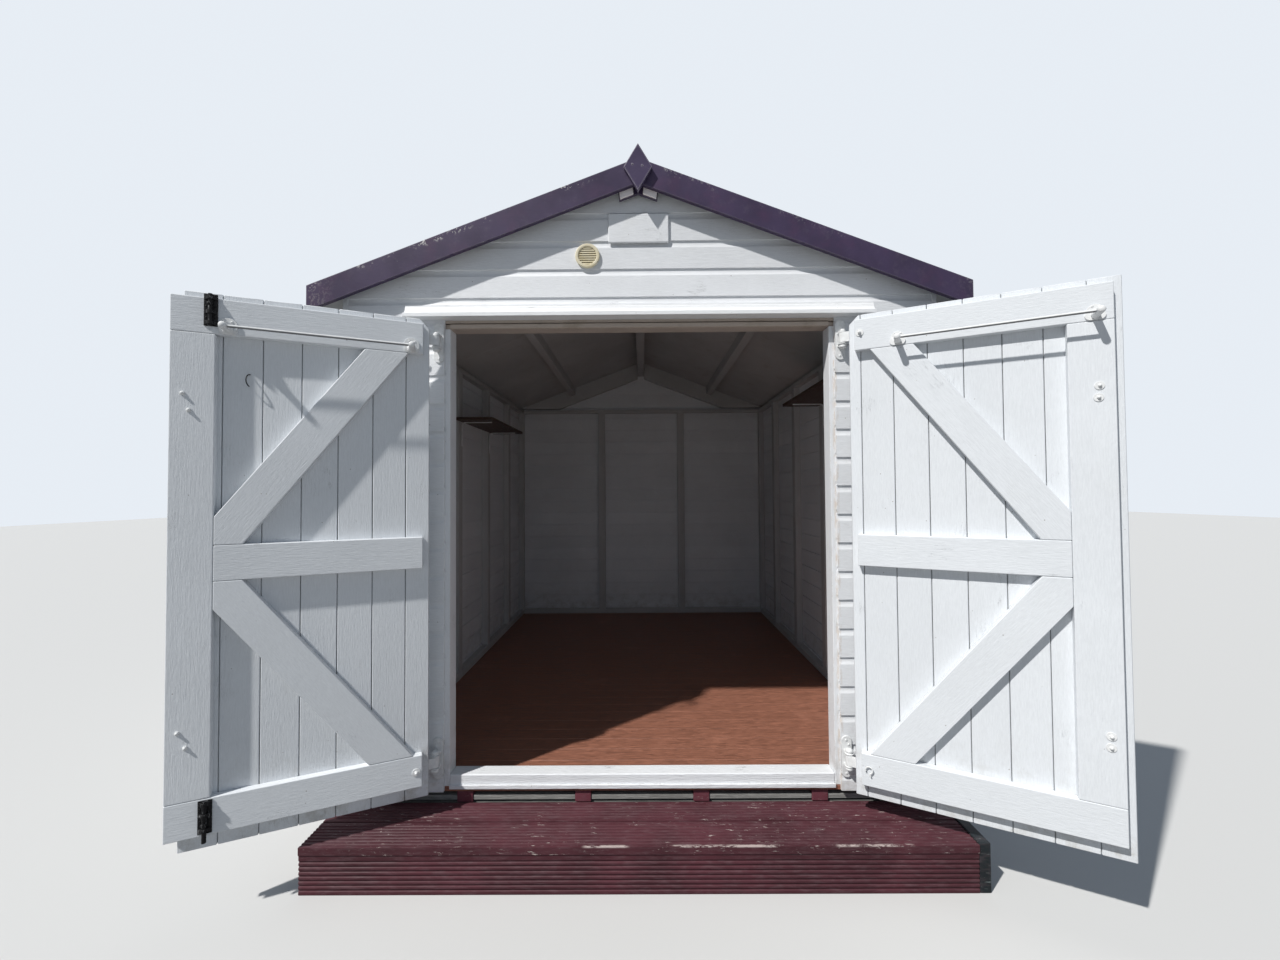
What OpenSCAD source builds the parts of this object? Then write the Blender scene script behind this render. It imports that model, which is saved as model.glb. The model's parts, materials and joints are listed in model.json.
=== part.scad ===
// Timber beach hut with a pair of ledged and braced doors and a step deck.
// Origin: on the ground under the middle of the floor. +Z is up, -Y is the front.

/* [Hut] */
// Width over the wall cladding
hut_w = 2440; // [2100:10:3000]
// Depth over the front and back cladding
hut_d = 3050; // [2400:10:3600]
// Height of the side walls, up to the roof
eaves_h = 2238; // [2200:2:2400]
// Thickness of the wall cladding
clad_t = 14; // [10:1:22]
// Slope of the roof in degrees
roof_pitch = 20.8; // [16:0.1:24]

/* [Base] */
// Height of the bearers that lie across on the ground
bearer_h = 164; // [120:1:166]
// Width of a bearer
bearer_w = 100; // [60:5:140]
// Distance from the front of the hut to the middle of the first bearer
bearer_in = 80; // [70:5:200]
// Width of a floor joist
joist_w = 65; // [45:1:80]
// Spacing of the floor joists
joist_pitch = 480; // [400:5:600]
// Distance from the cladding face to the ends of the joists
joist_in = 20; // [16:1:40]
// Height of a floor joist
joist_h = 48; // [44:1:70]
// Height of the blocking between the joist ends
blocking_h = 20; // [15:1:32]
// Height of the blocking's underside above the bearers
blocking_up = 8; // [4:1:10]
// Thickness of the blocking
blocking_t = 45; // [30:1:60]
// Distance of the blocking behind the joist ends
blocking_in = 4; // [0:1:15]
// Thickness of the floor boards
floor_t = 20; // [15:1:28]
// Height of the bottom edge of the cladding above the tops of the joists
clad_up = 4; // [0:1:8]

/* [Wall frame] */
// Face width of a stud
stud_w = 65; // [40:1:80]
// Depth of a stud, away from the cladding
stud_t = 45; // [35:1:60]
// Spacing of the side wall studs
stud_pitch = 610; // [500:5:700]
// Distance of the back wall studs from the middle
back_stud_x = 390; // [300:5:480]
// Height of a bottom plate
plate_h = 45; // [30:1:60]
// Distance of the underside of the side top plates below the eaves
plate_drop = 38; // [15:1:60]
// Depth of a gable rafter, square to the slope
rafter_h = 140; // [90:1:150]
// Width of the ridge beam
ridge_w = 62; // [40:1:75]
// Depth of the ridge beam below the roof boards
ridge_d = 130; // [90:1:160]
// Distance of the purlins from the middle
purlin_x = 670; // [500:5:800]
// Width of a purlin
purlin_w = 45; // [30:1:60]
// Depth of a purlin
purlin_d = 70; // [50:1:90]

/* [Doorway] */
// Clear width between the door posts
open_w = 1560; // [1300:5:1700]
// Height of the sill
sill_h = 47; // [35:1:60]
// Height of the door head
head_h = 95; // [70:1:100]
// Gap between the door head and the level of the side top plates' undersides
head_gap = 7; // [5:1:20]
// Face width of a door post
post_w = 45; // [35:1:60]
// Depth of the door posts, head and sill
post_t = 70; // [60:1:90]
// Width of the post face that the cladding leaves bare
post_show = 20; // [16:1:24]

/* [Drip mould] */
// Distance that the moulding reaches past the doorway on each side
drip_past = 174; // [60:2:220]
// Height of the bottom edge of the moulding above the doorway
drip_up = 34; // [20:1:60]
// Height of the moulding
drip_h = 52; // [30:1:60]
// Distance that the moulding stands out at its bottom edge
drip_out = 45; // [30:1:60]
// Distance that the moulding stands out at its top edge
drip_top_out = 18; // [8:1:28]

/* [Roof] */
// Thickness of the roof boards
roof_t = 12; // [9:1:22]
// Gap left between the roof boards and what they lie on
roof_gap = 0.3; // [0.1:0.1:0.6]
// Thickness of the roofing felt
felt_t = 4; // [2:0.5:6]
// Distance that the eaves stand out from the side walls
eaves_out = 113; // [60:1:140]
// Distance that the roof boards stand out from the gable walls
gable_out = 40; // [30:1:110]
// Thickness of the boards under the edges of the eaves
fascia_board_t = 16; // [12:1:22]
// Height of the boards under the edges of the eaves
fascia_board_h = 48; // [35:1:60]
// Thickness of the bargeboards
barge_t = 20; // [15:1:28]
// Width of the bargeboards, square to the slope
barge_h = 97; // [70:1:130]
// Distance that the bargeboards stand above the felt, square to the slope
barge_up = 41; // [0:1:45]
// Width of the diamond finial
finial_w = 115; // [80:1:150]
// Height of the diamond finial
finial_h = 192; // [140:1:240]
// Height of the top of the finial above the top of the bargeboards
finial_up = 45; // [20:1:70]
// Thickness of the finial
finial_t = 22; // [15:1:30]
// Width of a batten that carries the bargeboards at the ridge
batten_w = 53; // [40:1:70]
// Height of a batten
batten_h = 38; // [30:1:60]
// Distance of a batten from the middle
batten_in = 22; // [15:1:30]

/* [Gable fittings] */
// Width of the number plate
plaque_w = 248; // [180:1:300]
// Height of the number plate
plaque_h = 121; // [90:1:140]
// Thickness of the number plate
plaque_t = 18; // [10:1:25]
// Distance of the top edge of the number plate below the ridge
plaque_drop = 139; // [110:1:180]
// Diameter of the vent
vent_d = 100; // [80:1:120]
// Thickness of the vent flange
vent_t = 12; // [6:1:18]
// Distance of the vent from the middle
vent_x = 210; // [150:1:300]
// Distance of the middle of the vent below the ridge
vent_drop = 312; // [280:1:330]

/* [Doors] */
// Angle that the left door stands open
left_open = 155; // [100:1:170]
// Angle that the right door stands open
right_open = 152; // [100:1:170]
// Distance of the hinge pins from the edge of the clear doorway
pin_side = 41; // [36:1:50]
// Distance of the hinge pins in front of the cladding
pin_out = 28; // [24:1:34]
// Thickness of the door boards
board_t = 20; // [16:1:24]
// Thickness of the ledges and braces
ledge_t = 31; // [18:1:36]
// Width of the ledges, stiles and braces
ledge_w = 120; // [90:1:140]
// Distance that the door boards lap the door posts
board_lap = 13; // [8:1:14]
// Distance that the door boards lap the sill
sill_lap = 33; // [20:1:40]
// Distance that the door boards lap the door head
head_lap = 9; // [5:1:12]
// Gap between the ledges and the door posts
ledge_gap = 10; // [6:1:16]
// Gap between the ledges and the sill
ledge_low = 22; // [8:1:30]
// Gap between the ledges and the door head
ledge_high = 17; // [8:1:24]
// Distance along the ledges from the stile to a brace's lower corner
brace_foot = 80; // [50:1:100]
// Distance of the upper brace from the hinge end of the top ledge
brace_top_in = 53; // [20:1:100]
// Distance of the lower brace from the hinge end of the bottom ledge
brace_low_in = 32; // [20:1:100]
// Gap between the two doors' stiles when both are shut
meet_gap = 8; // [6:1:14]
// Distance that the left stile stands out past its boards
meet_lap = 27; // [15:1:40]
// Gap between the two doors' boards when both are shut
board_gap = 7; // [6:1:12]
// Gap between a door and what it closes onto
shut_gap = 6; // [5:1:8]
// Gap left between neighbouring timbers of a door
timber_gap = 0.6; // [0.3:0.1:1]
// Size of the corner cut off the boards above the top hinge
corner_cut = 35; // [20:1:50]

/* [Hinges] */
// Distance of the middle of the top hinges below the door head
hinge_drop = 63; // [50:1:110]
// Height of the middle of the bottom hinges above the sill
hinge_up = 75; // [60:1:120]
// Width of a hinge strap
strap_w = 40; // [30:1:50]
// Length of a hinge strap from the pin
strap_len = 560; // [400:5:700]
// Thickness of a hinge strap
strap_t = 5; // [4:0.5:6]
// Radius of the hinge pins
pin_r = 8; // [6:0.5:9]
// Radial clearance of the strap eye on the pin
pin_clear = 0.05; // [0.02:0.01:0.09]
// Outer radius of the strap eye
eye_r = 14; // [11:0.5:15]
// Width of a hook plate
hook_w = 41; // [34:1:50]
// Length of a hook plate
hook_len = 172; // [120:2:200]
// Thickness of a hook plate
hook_t = 6; // [4:1:8]
// Thickness of the lugs above and below the strap eye
lug_t = 9; // [6:1:12]
// Outer radius of the lugs
lug_r = 13; // [10:0.5:14]
// Gap between the strap eye and a lug
lug_gap = 1.5; // [1:0.5:3]

/* [Door fittings] */
// Length of a tower bolt's plate
bolt_len = 108; // [80:1:130]
// Width of a tower bolt's plate
bolt_w = 38; // [28:1:45]
// Thickness of a tower bolt's plate
bolt_t = 4; // [3:1:6]
// Radius of a tower bolt's rod
bolt_r = 7; // [5:0.5:8]
// Depth that the rod is let into the plate
bolt_sink = 2; // [1:0.5:3]
// Length of the rod that shows beyond the plate
bolt_tip = 26; // [8:1:28]
// Distance of the middle of the tower bolts from the stile's inner edge
bolt_in = 12; // [0:1:60]
// Distance that the upper tower bolt stands above the top ledge
bolt_up = 12; // [0:1:14]
// Distance of the lower tower bolt above the foot of the bottom ledge
bolt_low = 8; // [0:1:12]
// Radius of the hanging rails
rail_r = 5; // [4:0.5:7]
// Distance of the rails in front of the ledges
rail_out = 56; // [30:1:66]
// Distance of a rail above the bottom edge of the top ledge
rail_up = 16; // [16:1:60]
// Distance from the pin to the nearer bracket of the left rail
rail_left_from = 93; // [80:1:110]
// Distance from the pin to the nearer bracket of the right rail
rail_right_from = 200; // [80:1:210]
// Radius of a bracket's arm
rail_post_r = 11; // [8:0.5:13]
// Distance that a bracket's arm stands out past its rail
rail_post_past = 9; // [6:1:14]
// Width of a bracket's plate
rail_plate_w = 54; // [46:1:60]
// Height of a bracket's plate
rail_plate_h = 30; // [26:1:30]
// Thickness of a bracket's plate
rail_plate_t = 5; // [4:1:6]
// Gap between a rail and its brackets
rail_gap = 0.3; // [0.3:0.1:0.6]
// Gap between the left rail's far bracket and the upper tower bolt
rail_bolt_gap = 1; // [0.5:0.5:10]

/* [Shelves] */
// Depth of a shelf
shelf_d = 230; // [150:5:280]
// Length of a shelf
shelf_len = 820; // [700:5:1000]
// Distance of the underside of the left shelf below the side top plates
shelf_left_drop = 320; // [150:5:500]
// Distance of the underside of the right shelf below the side top plates
shelf_right_drop = 230; // [100:5:400]
// Distance of the left shelf's front end behind the front of the hut
shelf_left_from = 1130; // [900:5:1200]
// Distance of the right shelf's front end behind the front of the hut
shelf_right_from = 450; // [300:5:500]
// Thickness of a shelf
shelf_t = 18; // [12:1:25]

/* [Step] */
// Thickness of the step boards
step_t = 29; // [22:1:35]
// Height of the top of the step above the ground
step_h = 169; // [140:1:180]
// Distance that the step stands out in front of the cladding
step_out = 253; // [200:1:350]
// Width of the front step board
step_front_w = 140; // [100:1:160]
// Gap between the step boards
step_gap = 5; // [3:1:8]
// Distance that the step boards reach in under the cladding
step_under = 12; // [0:1:14]
// Distance of the fascia behind the front edge of the boards
fascia_in = 4; // [0:1:10]
// Thickness of the fascia
fascia_t = 28; // [20:1:32]
// Number of cross bearers under the step
step_bearer_count = 5; // [3:1:7]
// Width of a cross bearer
step_bearer_w = 45; // [35:1:60]
// Width of the end board at the step's right end
step_end_w = 40; // [25:1:50]
// Height that the end board stands above the step
step_end_up = 5; // [0:1:15]
// Distance that the end board stands out past the right wall
step_end_past = 8; // [0:1:20]

/* [Hidden] */
$fn = 48;

paint = "white";
burgundy = "#5c2a35";
aubergine = "#4b3f55";
grey = "#4a4f52";

// Joint left between two timbers that meet in one node
joint = 1;
// Distance that a cut runs past the solid that it is made in
over = 1;

// Planes of the hut
front_y = -hut_d / 2;
back_y = hut_d / 2;
half_w = hut_w / 2;
inner_w = half_w - clad_t;
stud_in = inner_w - stud_t;
joist_top = bearer_h + joist_h;
clad_base = joist_top + clad_up;
floor_top = joist_top + floor_t;
plate_top = floor_top + plate_h;
plate_z = eaves_h - plate_drop;

// Roof heights, measured straight up
slope = tan(roof_pitch);
up = 1 / cos(roof_pitch);
eaves_x = half_w + eaves_out;
ridge_h = eaves_h + half_w * slope;
roof_v = roof_gap + roof_t * up;
cover_v = roof_v + felt_t * up;
barge_v = barge_h * up;
barge_top_v = cover_v + barge_up * up;
tie_top = plate_z + plate_h;
function under(x) = ridge_h - abs(x) * slope;

// Doorway
half_open = open_w / 2;
sill_top = floor_top + sill_h;
open_top = plate_z - head_gap - head_h;
drip_z = open_top + drip_up;
strip_x = half_open + post_show;
frame_back = front_y + clad_t + post_t;
pin_x = half_open + pin_side;
pin_y = front_y - pin_out;

// Door leaf, measured from the pin: s along the leaf, w towards the inside of the shut hut
boards_s = pin_side - board_lap;
ledges_s = pin_side + ledge_gap;
stile_end = pin_x - meet_gap / 2;
stile_s = stile_end - ledge_w;
boards_end_left = stile_end - meet_lap;
boards_end_right = 2 * pin_x - boards_end_left - board_gap;
ledge_face = pin_out + clad_t - shut_gap;
boards_face = ledge_face - board_t;
leaf_face = ledge_face + ledge_t;
boards_z0 = sill_top - sill_lap;
boards_z1 = open_top + head_lap;
ledges_z0 = sill_top + ledge_low;
ledges_z1 = open_top - ledge_high;
ledge_mid = (ledges_z0 + ledges_z1 - ledge_w) / 2;

// Places of the tower bolts and of the rails
bolt_s = stile_s + bolt_in;
rail_len = bolt_s - bolt_w / 2 - rail_bolt_gap - rail_plate_w / 2 - rail_left_from;

// Hinge heights
hinge_top = open_top - hinge_drop;
hinge_low = sill_top + hinge_up;

// A box between two corners
module block(from, to) {
    translate(from) cube(to - from);
}

// A shape drawn in X and Z, running from y0 to y1
module along_y(y0, y1) {
    translate([0, y1, 0]) rotate([90, 0, 0]) linear_extrude(y1 - y0) children();
}

// A shape drawn in Y and Z, running from x0 to x1
module along_x(x0, x1) {
    translate([x0, 0, 0]) rotate([90, 0, 90]) linear_extrude(x1 - x0) children();
}

// The same piece on the right and on the left
module both_sides() {
    children();
    mirror([1, 0, 0]) children();
}

// The same piece at the front and at the back
module both_ends() {
    children();
    mirror([0, 1, 0]) children();
}

// A strip along the slope, from x0 to x1, between two heights over the tops of the walls
module slope_strip(x0, x1, v0, v1) {
    polygon([[x0, under(x0) + v0], [x1, under(x1) + v0], [x1, under(x1) + v1], [x0, under(x0) + v1]]);
}

// A gable outline from the height z0 up to the roof
module gable_outline(z0) {
    polygon([[-half_w, z0], [half_w, z0], [half_w, under(half_w)], [0, ridge_h], [-half_w, under(half_w)]]);
}

// Puts a leaf drawn from its pin into the left doorway
module left_leaf() {
    translate([-pin_x, pin_y, 0]) rotate([0, 0, -left_open]) children();
}

// The same for the right doorway
module right_leaf() {
    mirror([1, 0, 0]) translate([-pin_x, pin_y, 0]) rotate([0, 0, -right_open]) children();
}

module bearers() {
    color(grey) for (y = [front_y + bearer_in, 0, back_y - bearer_in])
        block([-inner_w, y - bearer_w / 2, 0], [inner_w, y + bearer_w / 2, bearer_h]);
}

joist_xs = [joist_pitch / 2, joist_pitch * 3 / 2, inner_w - joist_w / 2];

module floor_joists() {
    color(burgundy) both_sides() for (x = joist_xs)
        block([x - joist_w / 2, front_y + joist_in, bearer_h], [x + joist_w / 2, back_y - joist_in, joist_top]);
}

module joist_blocking() {
    y0 = front_y + joist_in + blocking_in;
    z0 = bearer_h + blocking_up;
    side = joist_w / 2;
    color(grey) both_ends() {
        block([side - joist_xs[0], y0, z0], [joist_xs[0] - side, y0 + blocking_t, z0 + blocking_h]);
        both_sides() for (i = [1 : len(joist_xs) - 1])
            block([joist_xs[i - 1] + side, y0, z0], [joist_xs[i] - side, y0 + blocking_t, z0 + blocking_h]);
    }
}

module floor() {
    color("sienna") block([-inner_w, front_y + clad_t, joist_top], [inner_w, back_y - clad_t, floor_top]);
}

module right_wall() {
    color(paint) along_y(front_y + clad_t, back_y - clad_t)
        polygon([[inner_w, clad_base], [half_w, clad_base], [half_w, under(half_w)], [inner_w, under(inner_w)]]);
}

module left_wall() {
    mirror([1, 0, 0]) right_wall();
}

module back_wall() {
    color(paint) along_y(back_y - clad_t, back_y) gable_outline(clad_base);
}

module front_wall() {
    color(paint) both_sides()
        block([strip_x, front_y, clad_base], [half_w, front_y + clad_t, drip_z]);
}

module front_gable() {
    color(paint) along_y(front_y, front_y + clad_t) gable_outline(drip_z);
}

module wall_studs() {
    middle = [for (y = [front_y + stud_pitch : stud_pitch : back_y - stud_w * 2]) y - stud_w / 2];
    side = concat([front_y + clad_t], middle, [back_y - clad_t - stud_w]);
    color(paint) both_sides() {
        for (y = side) block([stud_in, y, plate_top], [inner_w, y + stud_w, plate_z]);
        block([back_stud_x - stud_w / 2, back_y - clad_t - stud_t, plate_top],
              [back_stud_x + stud_w / 2, back_y - clad_t, plate_z]);
    }
}

module wall_plates() {
    across = stud_in - joint;
    y0 = front_y + clad_t;
    y1 = back_y - clad_t;
    color(paint) {
        both_sides() {
            block([stud_in, y0, floor_top], [inner_w, y1, plate_top]);
            block([stud_in, y0, plate_z], [inner_w, y1, under(inner_w)]);
            block([half_open + post_w, y0, floor_top], [across, y0 + stud_t, plate_top]);
        }
        block([-across, y1 - stud_t, floor_top], [across, y1, plate_top]);
        block([-across, y1 - stud_t, plate_z], [across, y1, tie_top]);
    }
}

// The rafters' feet are cut level, above the back top plate
module gable_rafters() {
    foot = tie_top + joint;
    x0 = ridge_w / 2;
    depth = rafter_h * up;
    inner_foot = (ridge_h - depth - foot) / slope;
    outer_foot = (ridge_h - foot) / slope;
    color(paint) both_ends() both_sides() along_y(front_y + clad_t, front_y + clad_t + stud_t)
        polygon([[x0, under(x0) - depth], [inner_foot, foot], [outer_foot, foot], [x0, under(x0)]]);
}

module ridge_beam() {
    side = ridge_w / 2;
    color(paint) along_y(front_y + clad_t, back_y - clad_t)
        polygon([[-side, ridge_h - ridge_d], [side, ridge_h - ridge_d], [side, under(side)], [0, ridge_h], [-side, under(side)]]);
}

module purlins() {
    end = clad_t + stud_t;
    x0 = purlin_x - purlin_w / 2;
    x1 = purlin_x + purlin_w / 2;
    color(paint) both_sides() along_y(front_y + end, back_y - end) slope_strip(x0, x1, -purlin_d, 0);
}

module door_posts() {
    color(paint) both_sides()
        block([half_open, front_y + clad_t, floor_top], [half_open + post_w, frame_back, open_top]);
}

module door_head() {
    color(paint) block([-stud_in, front_y + clad_t, open_top], [stud_in, frame_back, open_top + head_h]);
}

module door_sill() {
    color(paint) block([-half_open, front_y + clad_t, floor_top], [half_open, frame_back, sill_top]);
}

module drip_mould() {
    reach = half_open + drip_past;
    color(paint) along_x(-reach, reach)
        polygon([[front_y, drip_z], [front_y, drip_z + drip_h], [front_y - drip_top_out, drip_z + drip_h], [front_y - drip_out, drip_z]]);
}

module roof_right() {
    color(paint) along_y(front_y - gable_out, back_y + gable_out) slope_strip(joint / 2, eaves_x, roof_gap, roof_v);
}

module roof_left() {
    mirror([1, 0, 0]) roof_right();
}

module roof_felt() {
    color("dimgray") both_sides()
        along_y(front_y - gable_out, back_y + gable_out) slope_strip(joint / 2, eaves_x, roof_v, cover_v);
}

module eaves_boards() {
    inner = eaves_x - fascia_board_t;
    color(aubergine) both_sides() along_y(front_y - gable_out, back_y + gable_out)
        polygon([[inner, under(eaves_x) - fascia_board_h], [eaves_x, under(eaves_x) - fascia_board_h],
                 [eaves_x, under(eaves_x)], [inner, under(inner)]]);
}

module bargeboard_pair() {
    color(aubergine) both_sides()
        along_y(front_y - gable_out - barge_t, front_y - gable_out)
            slope_strip(joint / 2, eaves_x, barge_top_v - barge_v, barge_top_v);
}

module front_bargeboards() {
    bargeboard_pair();
}

module back_bargeboards() {
    mirror([0, 1, 0]) bargeboard_pair();
}

module finials() {
    top = ridge_h + barge_top_v + finial_up;
    middle = top - finial_h / 2;
    y = front_y - gable_out - barge_t;
    color(aubergine) both_ends() along_y(y - finial_t, y)
        polygon([[0, top], [finial_w / 2, middle], [0, top - finial_h], [-finial_w / 2, middle]]);
}

module apex_battens() {
    color(paint) both_ends() both_sides()
        along_y(front_y - gable_out, front_y) slope_strip(batten_in, batten_in + batten_w, -batten_h, 0);
}

module number_plate() {
    z = ridge_h - plaque_drop;
    color(paint) block([-plaque_w / 2, front_y - plaque_t, z - plaque_h], [plaque_w / 2, front_y, z]);
}

module vent() {
    color("ivory") translate([-vent_x, front_y, ridge_h - vent_drop]) rotate([90, 0, 0]) cylinder(d = vent_d, h = vent_t);
}

module left_shelf() {
    y = front_y + shelf_left_from;
    z = plate_z - shelf_left_drop;
    color("saddlebrown") block([-stud_in, y, z], [shelf_d - stud_in, y + shelf_len, z + shelf_t]);
}

module right_shelf() {
    y = front_y + shelf_right_from;
    z = plate_z - shelf_right_drop;
    color("saddlebrown") block([stud_in - shelf_d, y, z], [stud_in, y + shelf_len, z + shelf_t]);
}

step_front = front_y - step_out;
step_low = step_h - step_t;
step_right = half_w + step_end_past - step_end_w;
fascia_front = step_front + fascia_in;
bearer_face = front_y + bearer_in - bearer_w / 2;

module step_boards() {
    second = step_front + step_front_w + step_gap;
    color(burgundy) {
        block([-half_w, step_front, step_low], [step_right, step_front + step_front_w, step_h]);
        block([-half_w, second, step_low], [step_right, front_y + step_under, step_h]);
    }
}

module step_fascia() {
    color(burgundy) block([-half_w, fascia_front, 0], [step_right, fascia_front + fascia_t, step_low]);
}

module step_bearers() {
    run = step_right + half_w - step_bearer_w;
    color(grey) for (i = [0 : step_bearer_count - 1]) {
        x = -half_w + i * run / (step_bearer_count - 1);
        block([x, fascia_front + fascia_t, 0], [x + step_bearer_w, bearer_face, step_low]);
    }
}

module step_end() {
    color(grey) block([step_right, fascia_front, 0],
                      [step_right + step_end_w, front_y + step_under, step_h + step_end_up]);
}

// One hook plate with its two lugs and the pin, at the height z on the right
module hook_plate(z) {
    lug_z = strap_w / 2 + lug_gap;
    ends = hook_w / 2;
    x = strip_x + ends;
    translate([x, front_y, z]) rotate([90, 0, 0]) linear_extrude(hook_t) union() {
        square([hook_w, hook_len - hook_w], center = true);
        for (side = [-1, 1]) translate([0, side * (hook_len - hook_w) / 2]) circle(r = ends);
    }
    for (low = [-lug_z - lug_t, lug_z]) translate([0, 0, z + low]) {
        block([pin_x - lug_r, pin_y, 0], [pin_x + lug_r, front_y - hook_t, lug_t]);
        translate([pin_x, pin_y, 0]) cylinder(r = lug_r, h = lug_t);
    }
    translate([pin_x, pin_y, z - lug_z - lug_t]) cylinder(r = pin_r, h = 2 * (lug_z + lug_t));
}

module hook_plates() {
    color(paint) both_sides() for (z = [hinge_low, hinge_top]) hook_plate(z);
}

// Boards of a leaf, with the corner above the top hinge cut off
module leaf_boards(end) {
    along_y(boards_face, ledge_face)
        polygon([[boards_s, boards_z0], [end, boards_z0], [end, boards_z1],
                 [boards_s + corner_cut, boards_z1], [boards_s, boards_z1 - corner_cut]]);
}

// A brace of the ledges' width, from the stile at the height from to the height to, seat along the ledge
module brace(from, to, seat) {
    way = sign(to - from);
    stile = stile_s - timber_gap;
    heel = stile - brace_foot;
    z0 = from + way * timber_gap;
    z1 = to - way * timber_gap;
    angle = atan2(abs(z1 - z0), heel - seat);
    rise = (ledge_w - brace_foot * sin(angle)) / cos(angle);
    along_y(ledge_face, leaf_face)
        polygon([[stile, z0], [stile, z0 + way * rise], [seat + ledge_w / sin(angle), z1], [seat, z1], [heel, z0]]);
}

// Top and bottom ledges with the stile between them, the middle ledge and two braces.
// lip is the width of the free edge that the other door laps
module leaf_ledges(lip) {
    inner = stile_s - timber_gap;
    stile_z0 = ledges_z0 + ledge_w + timber_gap;
    stile_z1 = ledges_z1 - ledge_w - timber_gap;
    color(paint) {
        difference() {
            union() {
                for (z = [ledges_z0, ledges_z1 - ledge_w])
                    block([ledges_s, ledge_face, z], [stile_end, leaf_face, z + ledge_w]);
                block([stile_s, ledge_face, stile_z0], [stile_end, leaf_face, stile_z1]);
            }
            if (lip > 0) block([stile_end - lip, ledge_face - over, ledges_z0 - over],
                               [stile_end + over, ledge_face + shut_gap, ledges_z1 + over]);
        }
        block([ledges_s, ledge_face, ledge_mid], [inner, leaf_face, ledge_mid + ledge_w]);
        brace(ledge_mid + ledge_w, ledges_z1 - ledge_w, ledges_s + brace_top_in);
        brace(ledge_mid, ledges_z0 + ledge_w, ledges_s + brace_low_in);
    }
}

// The two straps of a leaf, each with an eye round its pin
module leaf_straps() {
    color(paint) for (z = [hinge_low, hinge_top]) translate([0, 0, z - strap_w / 2]) difference() {
        union() {
            cylinder(r = eye_r, h = strap_w);
            block([0, boards_face - strap_t, 0], [strap_len, boards_face, strap_w]);
        }
        translate([0, 0, -over]) cylinder(r = pin_r + pin_clear, h = strap_w + 2 * over);
    }
}

// A rail along the top ledge between two brackets, each an oval plate with a round arm
module leaf_rail(from) {
    z = ledges_z1 - ledge_w + rail_up;
    w = leaf_face + rail_out;
    side = rail_post_r + rail_gap;
    end_r = rail_plate_h / 2;
    color(paint) {
        for (s = [from, from + rail_len]) translate([s, 0, z]) {
            along_y(leaf_face, leaf_face + rail_plate_t) {
                square([rail_plate_w - rail_plate_h, rail_plate_h], center = true);
                for (way = [-1, 1]) translate([way * (rail_plate_w / 2 - end_r), 0]) circle(r = end_r);
            }
            along_y(leaf_face + rail_plate_t, w + rail_r + rail_post_past) circle(r = rail_post_r);
        }
        translate([from + side, w, z]) rotate([0, 90, 0]) cylinder(r = rail_r, h = rail_len - 2 * side);
    }
}

// Two tower bolts by the stile's inner edge, one shooting up and one down
module leaf_bolts() {
    s = bolt_s;
    color("black") for (up_end = [false, true]) {
        z = up_end ? ledges_z1 + bolt_up - bolt_len : ledges_z0 + bolt_low;
        tip = up_end ? 0 : bolt_tip;
        block([s - bolt_w / 2, leaf_face, z], [s + bolt_w / 2, leaf_face + bolt_t, z + bolt_len]);
        translate([s, leaf_face + bolt_t + bolt_r - bolt_sink, z - tip])
            cylinder(r = bolt_r, h = bolt_len + tip - bolt_t);
    }
}

module left_door_boards() {
    color(paint) left_leaf() leaf_boards(boards_end_left);
}

module left_door_ledges() {
    left_leaf() leaf_ledges(meet_lap + board_gap + shut_gap);
}

module left_door_straps() {
    left_leaf() leaf_straps();
}

module left_door_bolts() {
    left_leaf() leaf_bolts();
}

module left_door_rail() {
    left_leaf() leaf_rail(rail_left_from);
}

module right_door_boards() {
    color(paint) right_leaf() leaf_boards(boards_end_right);
}

module right_door_ledges() {
    right_leaf() leaf_ledges(0);
}

module right_door_straps() {
    right_leaf() leaf_straps();
}

module right_door_rail() {
    right_leaf() leaf_rail(rail_right_from);
}

bearers();
floor_joists();
joist_blocking();
floor();
left_wall();
right_wall();
back_wall();
front_wall();
front_gable();
wall_studs();
wall_plates();
gable_rafters();
ridge_beam();
purlins();
door_posts();
door_head();
door_sill();
drip_mould();
roof_left();
roof_right();
roof_felt();
eaves_boards();
front_bargeboards();
back_bargeboards();
finials();
apex_battens();
number_plate();
vent();
left_shelf();
right_shelf();
step_boards();
step_fascia();
step_bearers();
step_end();
hook_plates();
left_door_boards();
left_door_ledges();
left_door_straps();
left_door_bolts();
left_door_rail();
right_door_boards();
right_door_ledges();
right_door_straps();
right_door_rail();
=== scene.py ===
"""Timber beach hut: painted boards, ledged and braced doors, a worn step and the fittings, made round its frame."""

import json
import math

import bpy
from bpy.props import FloatProperty, FloatVectorProperty, PointerProperty
from mathutils import Matrix, Vector

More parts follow.
